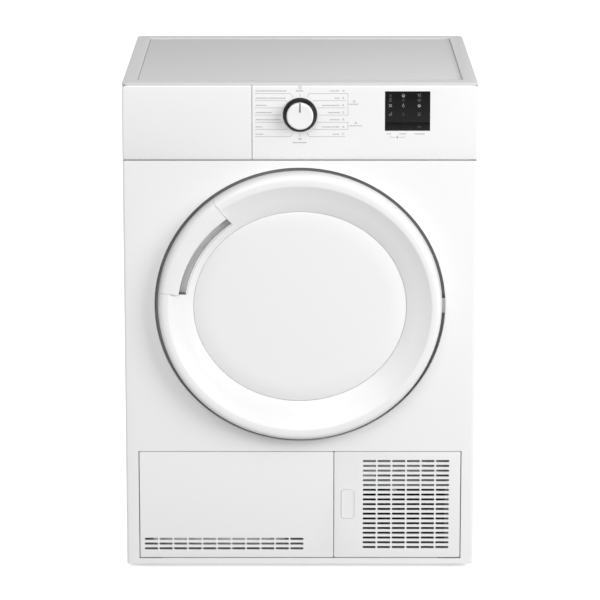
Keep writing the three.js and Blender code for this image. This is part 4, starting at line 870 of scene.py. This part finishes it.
hand_over(pointer, "knob", "black_gloss", gloss_black)


# ---------------------------------------------------------------- display and keys
# A smoked acrylic window with three touch keys of the same finish below it. Small symbols are printed behind
# the window in dark grey, and three lit ones are pale.
smoked = surface(
    "smoked_acrylic", (0.008, 0.008, 0.008), (0.12, 0.2), deep=0.75, grain_scale=1300, bump=0.015,
    specular=0.12
)
window = box_piece("display_pane", window_low, window_high)
finished_with(window, "BEVEL", width=0.0005, segments=3, limit_method="ANGLE", angle_limit=math.radians(40))
smooth(window)
hand_over(window, "cabinet", "black_gloss", smoked, "display_window")
for number in (1, 2, 3):
    key_low, key_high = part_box(f"key_{number}")
    key = box_piece(f"touch_key_{number}", key_low, key_high)
    finished_with(key, "BEVEL", width=0.0006, segments=3, limit_method="ANGLE", angle_limit=math.radians(40))
    smooth(key)
    hand_over(key, f"key_{number}", "black_gloss", smoked, f"key_{number}")

symbol_grey = surface(
    "display_symbol_grey", (0.075, 0.07, 0.072), (0.3, 0.4), deep=0.8, grain_scale=2500, bump=0.01
)
symbol_pale = surface(
    "display_symbol_pale", (0.4, 0.42, 0.42), (0.3, 0.4), deep=0.85, grain_scale=2500, bump=0.01
)
ink_face = window_low.y - 0.00005
columns = (0.1513, 0.173, 0.1997)
rows = [window_high.z - share * (window_high.z - window_low.z) for share in (0.13, 0.27, 0.45, 0.73)]


def symbol(kind, x, z):
    """Prints one plain symbol: a ring, a cross, a house of strokes, steps, waves or a drop."""
    if kind == "ring":
        ring_mark(x, z, 0.0022, 0.0008, 14)
        mark(x, z, 0.0012, 0.0012)
    elif kind == "cross":
        stroke(x - 0.0022, z - 0.0022, x + 0.0022, z + 0.0022, 0.0009)
        stroke(x - 0.0022, z + 0.0022, x + 0.0022, z - 0.0022, 0.0009)
    elif kind == "house":
        stroke(x - 0.0026, z - 0.0004, x, z + 0.0024, 0.0009)
        stroke(x + 0.0026, z - 0.0004, x, z + 0.0024, 0.0009)
        mark(x, z - 0.0016, 0.0038, 0.0018)
    elif kind == "steps":
        mark(x - 0.0016, z - 0.0012, 0.002, 0.0022)
        mark(x + 0.0002, z - 0.0002, 0.0016, 0.0042)
        mark(x + 0.002, z + 0.0008, 0.0016, 0.0062)
    elif kind == "waves":
        for lift in (-0.0022, 0, 0.0022):
            mark(x, z + lift, 0.0048, 0.001)
    else:
        ring_mark(x, z - 0.0008, 0.0018, 0.0009, 12)
        stroke(x, z + 0.001, x, z + 0.003, 0.0009)


dim = start_print("display_symbols_dim")
for kind, column, row in (
    ("ring", 0, 0), ("waves", 0, 1), ("steps", 0, 3), ("drop", 1, 1), ("drop", 1, 3), ("house", 2, 1),
    ("waves", 2, 3),
    ("steps", 2, 0),
):
    symbol(kind, columns[column], rows[row])
mark(columns[2] - 0.002, keys_low.z + 0.0065, 0.0016, 0.0016)
mark(columns[2] + 0.0016, keys_low.z + 0.0065, 0.0016, 0.0024)
clear()
hand_over(dim, "cabinet", "black_gloss", symbol_grey)
lit = start_print("display_symbols_lit")
for kind, column, row in (("cross", 0, 2), ("house", 1, 0), ("cross", 2, 0), ("drop", 1, 2), ("house", 2, 2)):
    symbol(kind, columns[column], rows[row])
clear()
hand_over(lit, "cabinet", "black_gloss", symbol_pale)


# ---------------------------------------------------------------- worktop
# A grey laminated board lies in a raised rim of grey plastic, which drops over the sides' upper flanges and
# is screwed on from behind.
rim_grey = surface(
    "grey_rim_plastic", (0.57, 0.57, 0.57), (0.42, 0.54), deep=0.98, patch=5, grain_scale=900, bump=0.12
)
laminate = surface(
    "grey_laminate", (0.54, 0.54, 0.54), (0.6, 0.72), deep=0.975, patch=11, grain_scale=420, bump=0.2,
    specular=0.25
)
top_low, top_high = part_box("worktop_frame")
board_low, board_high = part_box("worktop_board")
frame_piece = box_piece("worktop_rim", top_low, top_high)
round_edges(frame_piece, lambda m, e: lies_along(e, 2), 0.009, 7)
round_edges(
    frame_piece, lambda m,
    e: abs(m.z - top_high.z) < 1e-5 and all(abs(v.co.z - top_high.z) < 1e-5 for v in e.verts), 0.0022, 4
)
pocket = box_piece(
    "pocket_tool", (board_low.x - 0.0004, board_low.y - 0.0004, board_low.z - 0.0004),
    (board_high.x + 0.0004, board_high.y + 0.0004, 0.86)
)
cut(frame_piece, pocket)
hollow = box_piece(
    "hollow_tool", (board_low.x + 0.012, board_low.y + 0.012, top_low.z - 0.01),
    (board_high.x - 0.012, board_high.y - 0.012, 0.85)
)
cut(frame_piece, hollow)
lip_room = box_piece("lip_tool", (-0.31, front - 0.02, 0.8), (0.31, front + 0.0232, fascia_high.z + 0.0004))
cut(frame_piece, lip_room)
round_edges(
    frame_piece,
    lambda m, e: abs(m.z - top_high.z) < 1e-5
    and all(abs(v.co.z - top_high.z) < 1e-5 for v in e.verts)
    and abs(m.x) < board_high.x + 0.001
    and board_low.y - 0.001 < m.y < board_high.y + 0.001,
    0.0016,
    4,
)
smooth(frame_piece, 30)
hand_over(frame_piece, "cabinet", "top_plastic", rim_grey, "worktop_frame")
board = box_piece("worktop_laminate", board_low, board_high)
finished_with(board, "BEVEL", width=0.0009, segments=3, limit_method="ANGLE", angle_limit=math.radians(40))
smooth(board)
hand_over(board, "cabinet", "top_board", laminate, "worktop_board")


# ---------------------------------------------------------------- service door, grille and button
# Two white ABS trays fill the low opening. The left one is a door on two pins and has three rows of slots;
# the right one is fixed and carries the air inlet's slots and the door's push button.
def joined(piece, *others):
    """Makes other pieces part of one piece's mesh."""
    work_on(piece)
    for other in others:
        other.select_set(True)
    bpy.ops.object.join()
    clear()


def slot_tools(
    name, first_x, first_z, columns_count, rows_count, across, down, y_low, y_high, wide=0.0226, tall=0.0042
):
    """Makes the rounded bars that cut a field of slots, all in one mesh."""
    clear()
    bar = box_piece(name, (first_x, y_low, first_z - tall), (first_x + wide, y_high, first_z))
    round_edges(bar, lambda m, e: lies_along(e, 1), 0.0014, 4)
    edit(bar)
    bpy.ops.mesh.select_all(action="SELECT")
    for _ in range(columns_count - 1):
        bpy.ops.mesh.duplicate_move(TRANSFORM_OT_translate={"value": (across, 0, 0)})
    bpy.ops.mesh.select_all(action="SELECT")
    for _ in range(rows_count - 1):
        bpy.ops.mesh.duplicate_move(TRANSFORM_OT_translate={"value": (0, 0, -down)})
    clear()
    return bar


def tray_moulding(name, low, high, corner=0.0025, lip=0.0012, wall=0.0025):
    """Shapes an open-backed tray with round corners and a softened front edge."""
    piece = box_piece(name, low, high)
    round_edges(piece, lambda m, e: lies_along(e, 1), corner, 6)
    round_edges(piece, lambda m, e: all(v.co.y < low[1] + 1e-5 for v in e.verts), lip, 4)
    pick(piece, "faces", lambda m, f: f.normal.y > 0.9)
    bpy.ops.mesh.delete(type="FACE")
    clear()
    finished_with(piece, "SOLIDIFY", thickness=wall, offset=-1)
    return piece


kick_low, kick_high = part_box("kick_door")
grille_low, grille_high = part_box("kick_grille")
tray_low = grille_low.z
tray_high = grille_high.z
service_door = tray_moulding(
    "service_door_tray", (kick_low.x, kick_low.y, tray_low), (kick_high.x, kick_high.y, tray_high)
)
cut(
    service_door,
    slot_tools(
        "door_slots", kick_low.x + 0.0083, 0.0541, 11, 3, 0.0251, 0.00855, kick_low.y - 0.002,
        kick_low.y + 0.004
    ),
)
for pin_low, pin_high in ((kick_low.z, tray_low + 0.006), (tray_high - 0.006, kick_high.z)):
    clear()
    bpy.ops.mesh.primitive_cylinder_add(
        vertices=24, radius=0.0025, depth=pin_high - pin_low,
        location=(-0.272, front + 0.006, (pin_low + pin_high) / 2)
    )
    pin = bpy.context.object
    pin.name = "service_door_pin"
    fixed(pin)
    finished_with(pin, "BEVEL", width=0.0005, segments=2, limit_method="ANGLE", angle_limit=math.radians(50))
    joined(service_door, pin)
smooth(service_door, 28)
hand_over(service_door, "kick_door", "white_plastic", moulded_white, "kick_door")

grille = tray_moulding(
    "air_grille_tray", (grille_low.x, grille_low.y, tray_low), (grille_high.x, grille_high.y, tray_high)
)
cut(
    grille,
    slot_tools(
        "grille_slots", 0.108, 0.1932, 6, 19, 0.0251, 0.00855, grille_low.y - 0.002, grille_low.y + 0.004
    ),
)
button_low, button_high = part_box("kick_button")
button_room = box_piece(
    "button_tool",
    (button_low.x - 0.0005, grille_low.y - 0.01, button_low.z - 0.0005),
    (button_high.x + 0.0005, grille_low.y + 0.01, button_high.z + 0.0005),
)
round_edges(button_room, lambda m, e: lies_along(e, 1), 0.0055, 6)
cut(grille, button_room)
smooth(grille, 28)
hand_over(grille, "cabinet", "white_plastic", moulded_white, "kick_grille")

button = box_piece("service_button", button_low, button_high)
round_edges(button, lambda m, e: lies_along(e, 1), 0.005, 6)
pick(button, "faces", lambda m, f: f.normal.y < -0.9)
bpy.ops.mesh.inset(thickness=0.0028, depth=-0.0006)
bpy.ops.mesh.inset(thickness=0.0014, depth=0)
clear()
round_edges(button, lambda m, e: all(v.co.y < button_low.y + 1e-5 for v in e.verts), 0.0005, 3)
smooth(button, 35)
hand_over(button, "kick_button", "white_plastic", moulded_white, "kick_button")


# ---------------------------------------------------------------- side sheets
# Each side is one sheet of pre-painted steel with a shallow stamped field that stiffens it. Its rear and top
# edges are folded inwards, and its front edge slips behind the front sheet.
def bare_plane(name, low, high):
    """Adds a flat sheet that faces +Y, between two (x, z) corners."""
    clear()
    bpy.ops.mesh.primitive_plane_add(size=1, rotation=(-math.pi / 2, 0, 0))
    piece = bpy.context.object
    piece.name = name
    piece.scale = (high[0] - low[0], high[1] - low[1], 1)
    piece.location = ((low[0] + high[0]) / 2, 0, (low[1] + high[1]) / 2)
    fixed(piece)
    return piece


def stamped_sheet(name, low, high, margin, corner, depth):
    """Draws a flat sheet that faces +Y, with a round-cornered field stamped out of its middle by a depth."""
    field = bare_plane(
        name + "_field", (low[0] + margin, low[1] + margin), (high[0] - margin, high[1] - margin)
    )
    pick(field, "verts", lambda m, v: True)
    bpy.ops.mesh.bevel(offset=corner, segments=8, affect="VERTICES")
    pick(field, "faces", lambda m, f: True)
    bpy.ops.mesh.inset(thickness=abs(depth) * 1.6, depth=0)
    bpy.ops.transform.translate(value=(0, depth, 0))
    sheet = bare_plane(name, low, high)
    pick(sheet, "faces", lambda m, f: True)
    bpy.ops.mesh.delete(type="ONLY_FACE")
    joined(sheet, field)
    pick(sheet, "edges", lambda m, e: len(e.link_faces) < 2)
    bpy.ops.mesh.fill()
    clear()
    tidy_normals(sheet)
    shape = edit(sheet, "FACE")
    biggest = max(shape.faces, key=lambda f: f.calc_area())
    if biggest.normal.y < 0:
        bpy.ops.mesh.select_all(action="SELECT")
        bpy.ops.mesh.flip_normals()
    clear()
    return sheet


def side_sheet(name, low, high, place, side, margin, corner, depth):
    """Draws a side's stamped sheet between two (y, z) corners and stands it in its plane, facing outwards."""
    sheet = stamped_sheet(name, low, high, margin, corner, -depth)
    if side > 0:
        middle = (low[0] + high[0]) / 2
        edit(sheet)
        bpy.ops.mesh.select_all(action="SELECT")
        bpy.ops.transform.resize(value=(-1, 1, 1), center_override=(middle, 0, 0))
        bpy.ops.mesh.flip_normals()
        clear()
    sheet.rotation_euler = (0, 0, side * -math.pi / 2)
    fixed(sheet)
    edit(sheet)
    bpy.ops.mesh.select_all(action="SELECT")
    lowest = min(v.co.y for v in bmesh.from_edit_mesh(sheet.data).verts)
    bpy.ops.transform.translate(value=(0, low[0] - lowest, 0))
    outermost = max(side * v.co.x for v in bmesh.from_edit_mesh(sheet.data).verts)
    bpy.ops.transform.translate(value=(place - side * outermost, 0, 0))
    clear()
    return sheet


for side in (-1, 1):
    name = "left_side_panel" if side < 0 else "right_side_panel"
    side_low, side_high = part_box(name)
    sheet = side_sheet(
        name.replace("panel", "sheet"),
        (side_low.y, side_low.z),
        (side_high.y, side_high.z),
        side_high.x if side > 0 else side_low.x,
        side,
        margin=0.06,
        corner=0.03,
        depth=0.0009,
    )
    pick(
        sheet,
        "edges",
        lambda m, e: e.is_boundary and (m.y > side_high.y - 1e-4 or m.z > side_high.z - 1e-4),
    )
    bpy.ops.mesh.extrude_region_move(TRANSFORM_OT_translate={"value": (-side * 0.014, 0, 0)})
    clear()
    finished_with(sheet, "SOLIDIFY", thickness=0.0012, offset=-1)
    finished_with(
        sheet, "BEVEL", width=0.0005, segments=2, limit_method="ANGLE", angle_limit=math.radians(60)
    )
    smooth(sheet, 20)
    hand_over(sheet, "cabinet", "white_paint", powder_coat, name)


# ---------------------------------------------------------------- rear sheet
# The back is one zinc-coated steel sheet with a raised field over the heater's duct, air slots, a hole for
# the mains inlet, and pan-head screws along its edges.
spangle = surface(
    "zinc_coated_sheet", (0.5, 0.51, 0.52), (0.34, 0.52), deep=0.86, patch=70, grain_scale=260, bump=0.1,
    metal=0.85
)
rear_low, rear_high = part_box("rear_panel")
rear = stamped_sheet("rear_sheet", (rear_low.x, rear_low.z), (rear_high.x, rear_high.z), 0.02, 0.02, -0.0008)
rear_field = stamped_sheet("rear_field", (-0.19, 0.26), (0.19, 0.7), 0.004, 0.03, 0.0018)
for piece, depth in ((rear, rear_high.y), (rear_field, rear_high.y - 0.0006)):
    piece.location.y = depth
    fixed(piece)
for piece in (rear, rear_field):
    finished_with(piece, "SOLIDIFY", thickness=0.0012, offset=-1)
inlet_low, inlet_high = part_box("mains_inlet")
inlet_room = box_piece(
    "inlet_tool",
    (inlet_low.x + 0.005, rear_low.y - 0.01, inlet_low.z + 0.005),
    (inlet_high.x - 0.005, rear_high.y + 0.01, inlet_high.z - 0.005),
)
cut(rear, inlet_room)
air_slots = slot_tools(
    "rear_slots", -0.15, 0.205, 3, 4, 0.115, 0.014, rear_low.y - 0.01, rear_high.y + 0.01,
    wide=0.055, tall=0.006,
)
cut(rear, air_slots)
joined(rear, rear_field)
smooth(rear, 20)
hand_over(rear, "cabinet", "zinc_steel", spangle, "rear_panel")
screw_steel = surface(
    "screw_steel", (0.45, 0.45, 0.46), (0.28, 0.4), deep=0.85, patch=200, grain_scale=1800, bump=0.1,
    metal=1.0
)
screws = []
screw_places = [(x, z) for x in (-0.286, 0.286) for z in (0.05, 0.24, 0.43, 0.62, 0.8)]
screw_places += [(x, z) for x in (-0.15, 0.15) for z in (0.024, 0.808)]
for x, z in screw_places:
    clear()
    bpy.ops.mesh.primitive_cylinder_add(
        vertices=20, radius=0.0042, depth=0.0022, location=(x, rear_high.y + 0.0007, z),
        rotation=(math.pi / 2, 0, 0)
    )
    screw = bpy.context.object
    fixed(screw)
    pick(screw, "faces", lambda m, f: f.normal.y > 0.9)
    bpy.ops.mesh.bevel(offset=0.0009, segments=3, affect="EDGES")
    pick(screw, "faces", lambda m, f: f.normal.y > 0.99)
    bpy.ops.mesh.inset(thickness=0.0016, depth=0)
    bpy.ops.mesh.inset(thickness=0.0003, depth=-0.0008)
    clear()
    screws.append(screw)
screws[0].name = "rear_screws"
joined(screws[0], *screws[1:])
smooth(screws[0], 40)
hand_over(screws[0], "cabinet", "zinc_steel", screw_steel)


# ---------------------------------------------------------------- feet
# Four levelling feet: a ribbed rubber pad around the head of a threaded steel stud, which a hexagonal nut
# locks against the base tray.
tread_rubber = surface(
    "black_foot_rubber", (0.03, 0.03, 0.031), (0.7, 0.85), deep=0.8, patch=30, grain_scale=1400, bump=0.3,
    specular=0.3
)


def turned_piece(name, rings, place, steps=48):
    """Draws a round piece around Z from (radius, z) rings, closed at both ends."""
    clear()
    bpy.ops.mesh.primitive_circle_add(
        vertices=steps, radius=rings[0][0], location=(place[0], place[1], rings[0][1])
    )
    piece = bpy.context.object
    piece.name = name
    fixed(piece)
    edit(piece)
    bpy.ops.mesh.select_all(action="SELECT")
    bpy.ops.mesh.edge_face_add()
    for last, ring in zip(rings, rings[1:]):
        bpy.ops.mesh.extrude_region_move(TRANSFORM_OT_translate={"value": (0, 0, ring[1] - last[1])})
        grow = ring[0] / last[0]
        bpy.ops.transform.resize(value=(grow, grow, 1), center_override=(place[0], place[1], ring[1]))
    bpy.ops.mesh.select_all(action="SELECT")
    bpy.ops.mesh.normals_make_consistent(inside=False)
    clear()
    return piece


for name in ("foot_front_left", "foot_front_right", "foot_rear_left", "foot_rear_right"):
    foot_low, foot_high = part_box(name)
    place = ((foot_low.x + foot_high.x) / 2, (foot_low.y + foot_high.y) / 2)
    pad_r = (foot_high.x - foot_low.x) / 2
    pad = turned_piece(
        name + "_pad",
        [
            (pad_r - 0.009, 0.0006),
            (pad_r - 0.0085, 0),
            (pad_r - 0.0012, 0),
            (pad_r, 0.0012),
            (pad_r, 0.0042),
            (pad_r - 0.0012, 0.005),
            (pad_r, 0.0058),
            (pad_r - 0.0006, 0.0072),
            (pad_r - 0.004, 0.0082),
            (0.009, 0.0084),
        ],
        place,
    )
    smooth(pad, 35)
    hand_over(pad, name, "rubber", tread_rubber, name)
    thread = [(0.0048, 0.008)]
    for turn in range(19):
        z = 0.0095 + turn * 0.0016
        thread += [(0.0043, z), (0.005, z + 0.0008)]
    thread += [(0.0048, foot_high.z - 0.0004), (0.0042, foot_high.z)]
    stud = turned_piece(name + "_stud", thread, place, 20)
    clear()
    bpy.ops.mesh.primitive_cylinder_add(
        vertices=6, radius=0.0092, depth=0.0016, location=(place[0], place[1], 0.0092)
    )
    head = bpy.context.object
    fixed(head)
    finished_with(head, "BEVEL", width=0.0003, segments=2, limit_method="ANGLE", angle_limit=math.radians(40))
    joined(stud, head)
    smooth(stud, 40)
    hand_over(stud, name, "rubber", screw_steel)


# ---------------------------------------------------------------- what the open door and the open sides show
# These keep the frame's own shapes. Each copy has its doubles merged, its flat faces made whole and its
# edges softened, as mouldings, castings and folded sheets have them.
def softened(node, name, width, body, slot, material, angle=32, steps=2, shade=36):
    """Makes the finished piece from one of the frame's nodes, with its edges softened."""
    clear()
    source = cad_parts[node]
    piece = source.copy()
    piece.data = source.data.copy()
    piece.name = name
    for key in list(piece.keys()):
        del piece[key]
    piece.parent = None
    piece.hide_render = False
    piece.hide_viewport = False
    bpy.context.scene.collection.objects.link(piece)
    edit(piece, "VERT")
    bpy.ops.mesh.select_all(action="SELECT")
    bpy.ops.mesh.remove_doubles(threshold=0.00002)
    bpy.ops.mesh.dissolve_limited(angle_limit=math.radians(1.5), delimit={"NORMAL"})
    clear()
    if width:
        finished_with(
            piece,
            "BEVEL",
            width=width,
            segments=steps,
            limit_method="ANGLE",
            angle_limit=math.radians(angle),
            use_clamp_overlap=True,
        )
    smooth(piece, shade)
    return hand_over(piece, body, slot, material, node)


# The door's groove ring is grey plastic. Its dark grey is partly painted shade, standing in for the shadow
# inside the recessed gap around the door.
groove_grey_and_painted_shade = surface(
    "groove_grey_plastic_and_painted_shade", (0.21, 0.212, 0.215), (0.4, 0.5), deep=0.93, grain_scale=1200, bump=0.1
)
white_polypropylene = surface(
    "white_polypropylene", (0.74, 0.745, 0.75), (0.36, 0.48), deep=0.97, patch=8, grain_scale=800, bump=0.12
)
grey_polypropylene = surface(
    "grey_polypropylene", (0.4, 0.41, 0.42), (0.4, 0.55), deep=0.93, patch=8, grain_scale=800, bump=0.14
)
dark_polyamide = surface(
    "dark_polyamide", (0.035, 0.036, 0.038), (0.42, 0.56), deep=0.85, patch=12, grain_scale=900, bump=0.14
)
pressed_steel = surface(
    "pressed_hinge_steel", (0.5, 0.5, 0.51), (0.26, 0.4), deep=0.88, patch=60, grain_scale=1500, bump=0.12,
    metal=1.0
)
softened("door_surround", "door_groove_ring", 0.0, "cabinet", "groove_grey", groove_grey_and_painted_shade)
lip_grey = surface(
    "lip_grey_plastic", (0.33, 0.332, 0.335), (0.4, 0.5), deep=0.95, grain_scale=1200, bump=0.1
)
lip_low, lip_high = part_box("door_hinge")
lip = box_piece("hinge_lip", (0.2408, -0.2688, lip_low.z), (0.2467, -0.2674, lip_high.z))
round_edges(lip, lambda m, e: True, 0.0004, 3)
hand_over(lip, "door", "groove_grey", lip_grey)
softened("front_bulkhead", "mouth_bulkhead", 0.0006, "cabinet", "white_plastic", white_polypropylene)
softened("door_catch", "catch_housing", 0.0006, "cabinet", "grey_plastic", grey_polypropylene)
softened("door_hook", "catch_hook", 0.0006, "door", "zinc_steel", pressed_steel)
softened("door_hinge", "swan_neck_hinge", 0.0006, "door", "zinc_steel", pressed_steel)
softened("hinge_bracket", "hinge_plate", 0.0005, "cabinet", "zinc_steel", pressed_steel)
softened("lint_filter", "lint_filter_frame", 0.0008, "lint_filter", "grey_plastic", grey_polypropylene)
softened("tank_tray", "tank_channel", 0.0008, "cabinet", "grey_plastic", grey_polypropylene)
softened("front_crossrail", "crossrail_sheet", 0.0004, "cabinet", "zinc_steel", spangle)
softened("control_board", "control_carrier", 0.0005, "cabinet", "grey_plastic", grey_polypropylene)
softened("base_tray", "base_moulding", 0.0008, "cabinet", "grey_plastic", grey_polypropylene)
softened("mains_inlet", "mains_inlet_socket", 0.0006, "cabinet", "dark_plastic", dark_polyamide)
for side in ("left", "right"):
    softened(
        f"condenser_lock_{side}",
        f"condenser_turn_lock_{side}",
        0.0006,
        f"condenser_lock_{side}",
        "grey_plastic",
        grey_polypropylene,
    )


# ---------------------------------------------------------------- drum
# The drum is a barrel of brushed stainless sheet with a seamed rear wall, whose slots let the warm air in.
# Three hollow white lifters are screwed to it, and a felt ring seals its front edge.
brushed = bpy.data.materials.new("brushed_stainless")
brushed.use_nodes = True
brushed_tree = brushed.node_tree
brushed_shader = brushed_tree.nodes["Principled BSDF"]
brushed_shader.inputs["Metallic"].default_value = 1.0
brushed_place = brushed_tree.nodes.new("ShaderNodeTexCoord")
brushed_run = brushed_tree.nodes.new("ShaderNodeMapping")
brushed_run.inputs["Scale"].default_value = (40, 1400, 40)
brushed_lines = add_node(brushed_tree, "ShaderNodeTexNoise", Scale=1.0, Detail=4, Roughness=0.7)
brushed_tone = brushed_tree.nodes.new("ShaderNodeMix")
brushed_tone.data_type = "RGBA"
brushed_tone.inputs[6].default_value = (0.56, 0.56, 0.57, 1)
brushed_tone.inputs[7].default_value = (0.44, 0.44, 0.45, 1)
brushed_gloss = brushed_tree.nodes.new("ShaderNodeMapRange")
brushed_gloss.inputs["To Min"].default_value = 0.24
brushed_gloss.inputs["To Max"].default_value = 0.42
brushed_relief = brushed_tree.nodes.new("ShaderNodeBump")
brushed_relief.inputs["Strength"].default_value = 0.12
brushed_relief.inputs["Distance"].default_value = 0.0002
brushed_tree.links.new(brushed_place.outputs["Object"], brushed_run.inputs["Vector"])
brushed_tree.links.new(brushed_run.outputs["Vector"], brushed_lines.inputs["Vector"])
brushed_tree.links.new(brushed_lines.outputs["Fac"], brushed_tone.inputs["Factor"])
brushed_tree.links.new(brushed_lines.outputs["Fac"], brushed_gloss.inputs["Value"])
brushed_tree.links.new(brushed_lines.outputs["Fac"], brushed_relief.inputs["Height"])
brushed_tree.links.new(brushed_tone.outputs[2], brushed_shader.inputs["Base Color"])
brushed_tree.links.new(brushed_gloss.outputs["Result"], brushed_shader.inputs["Roughness"])
brushed_tree.links.new(brushed_relief.outputs["Normal"], brushed_shader.inputs["Normal"])
softened("drum_shell", "drum_barrel", 0.0, "drum", "drum_steel", brushed)
softened("drum_rear_wall", "drum_rear_sheet", 0.0, "drum", "drum_steel", brushed)
for number in (1, 2, 3):
    softened(
        f"lifter_{number}", f"drum_lifter_{number}", 0.006, "drum", "white_plastic", white_polypropylene,
        steps=4
    )
felt = surface(
    "pressed_wool_felt", (0.32, 0.31, 0.29), (0.85, 0.97), deep=0.8, patch=120, grain_scale=2600, bump=0.6,
    reach=0.0008, specular=0.15,
)
softened("drum_front_seal", "drum_felt_ring", 0.0006, "cabinet", "felt", felt)
lens = surface(
    "clear_lamp_cover", (0.8, 0.82, 0.84), (0.08, 0.16), deep=0.97, grain_scale=300, bump=0.1, clear_share=0.7
)
softened("drum_lamp", "drum_lamp_cover", 0.0006, "cabinet", "clear_cover", lens)


# ---------------------------------------------------------------- running gear and air path
# The rest is hidden behind the sheets: rear bulkhead and bearing, belt, motor with its fan at each end, fan
# housing, heater duct, condenser, pump, idler and the two rollers that carry the drum.
belt_rubber = surface(
    "ribbed_belt_rubber", (0.02, 0.02, 0.021), (0.6, 0.75), deep=0.75, patch=40, grain_scale=1000, bump=0.4,
    specular=0.3
)
fin_aluminium = surface(
    "fin_aluminium", (0.62, 0.63, 0.64), (0.3, 0.45), deep=0.9, patch=50, grain_scale=900, bump=0.15,
    metal=1.0
)
for node, name, width, body, slot, material in (
    ("rear_bulkhead", "rear_bulkhead_sheet", 0.0005, "cabinet", "zinc_steel", spangle),
    ("drum_belt", "drum_belt_band", 0.0003, "cabinet", "rubber", belt_rubber),
    ("motor_housing", "motor_case", 0.0008, "cabinet", "zinc_steel", spangle),
    ("process_fan_housing", "fan_volute", 0.0008, "cabinet", "grey_plastic", grey_polypropylene),
    ("heater_duct", "heater_duct_sheet", 0.0006, "cabinet", "zinc_steel", spangle),
    ("condenser", "condenser_body", 0.001, "cabinet", "aluminium", fin_aluminium),
    ("condensate_pump", "condensate_pump_case", 0.0008, "cabinet", "dark_plastic", dark_polyamide),
    ("roller_left", "drum_roller_left", 0.0005, "roller_left", "dark_plastic", dark_polyamide),
    ("roller_right", "drum_roller_right", 0.0005, "roller_right", "dark_plastic", dark_polyamide),
    ("rotor_shaft", "motor_rotor_shaft", 0.0003, "rotor", "zinc_steel", pressed_steel),
    ("process_fan", "process_fan_wheel", 0.0, "rotor", "dark_plastic", dark_polyamide),
    ("cooling_fan", "cooling_fan_wheel", 0.0, "rotor", "dark_plastic", dark_polyamide),
    ("idler_pulley", "belt_idler_wheel", 0.0004, "idler", "dark_plastic", dark_polyamide),
):
    softened(node, name, width, body, slot, material)
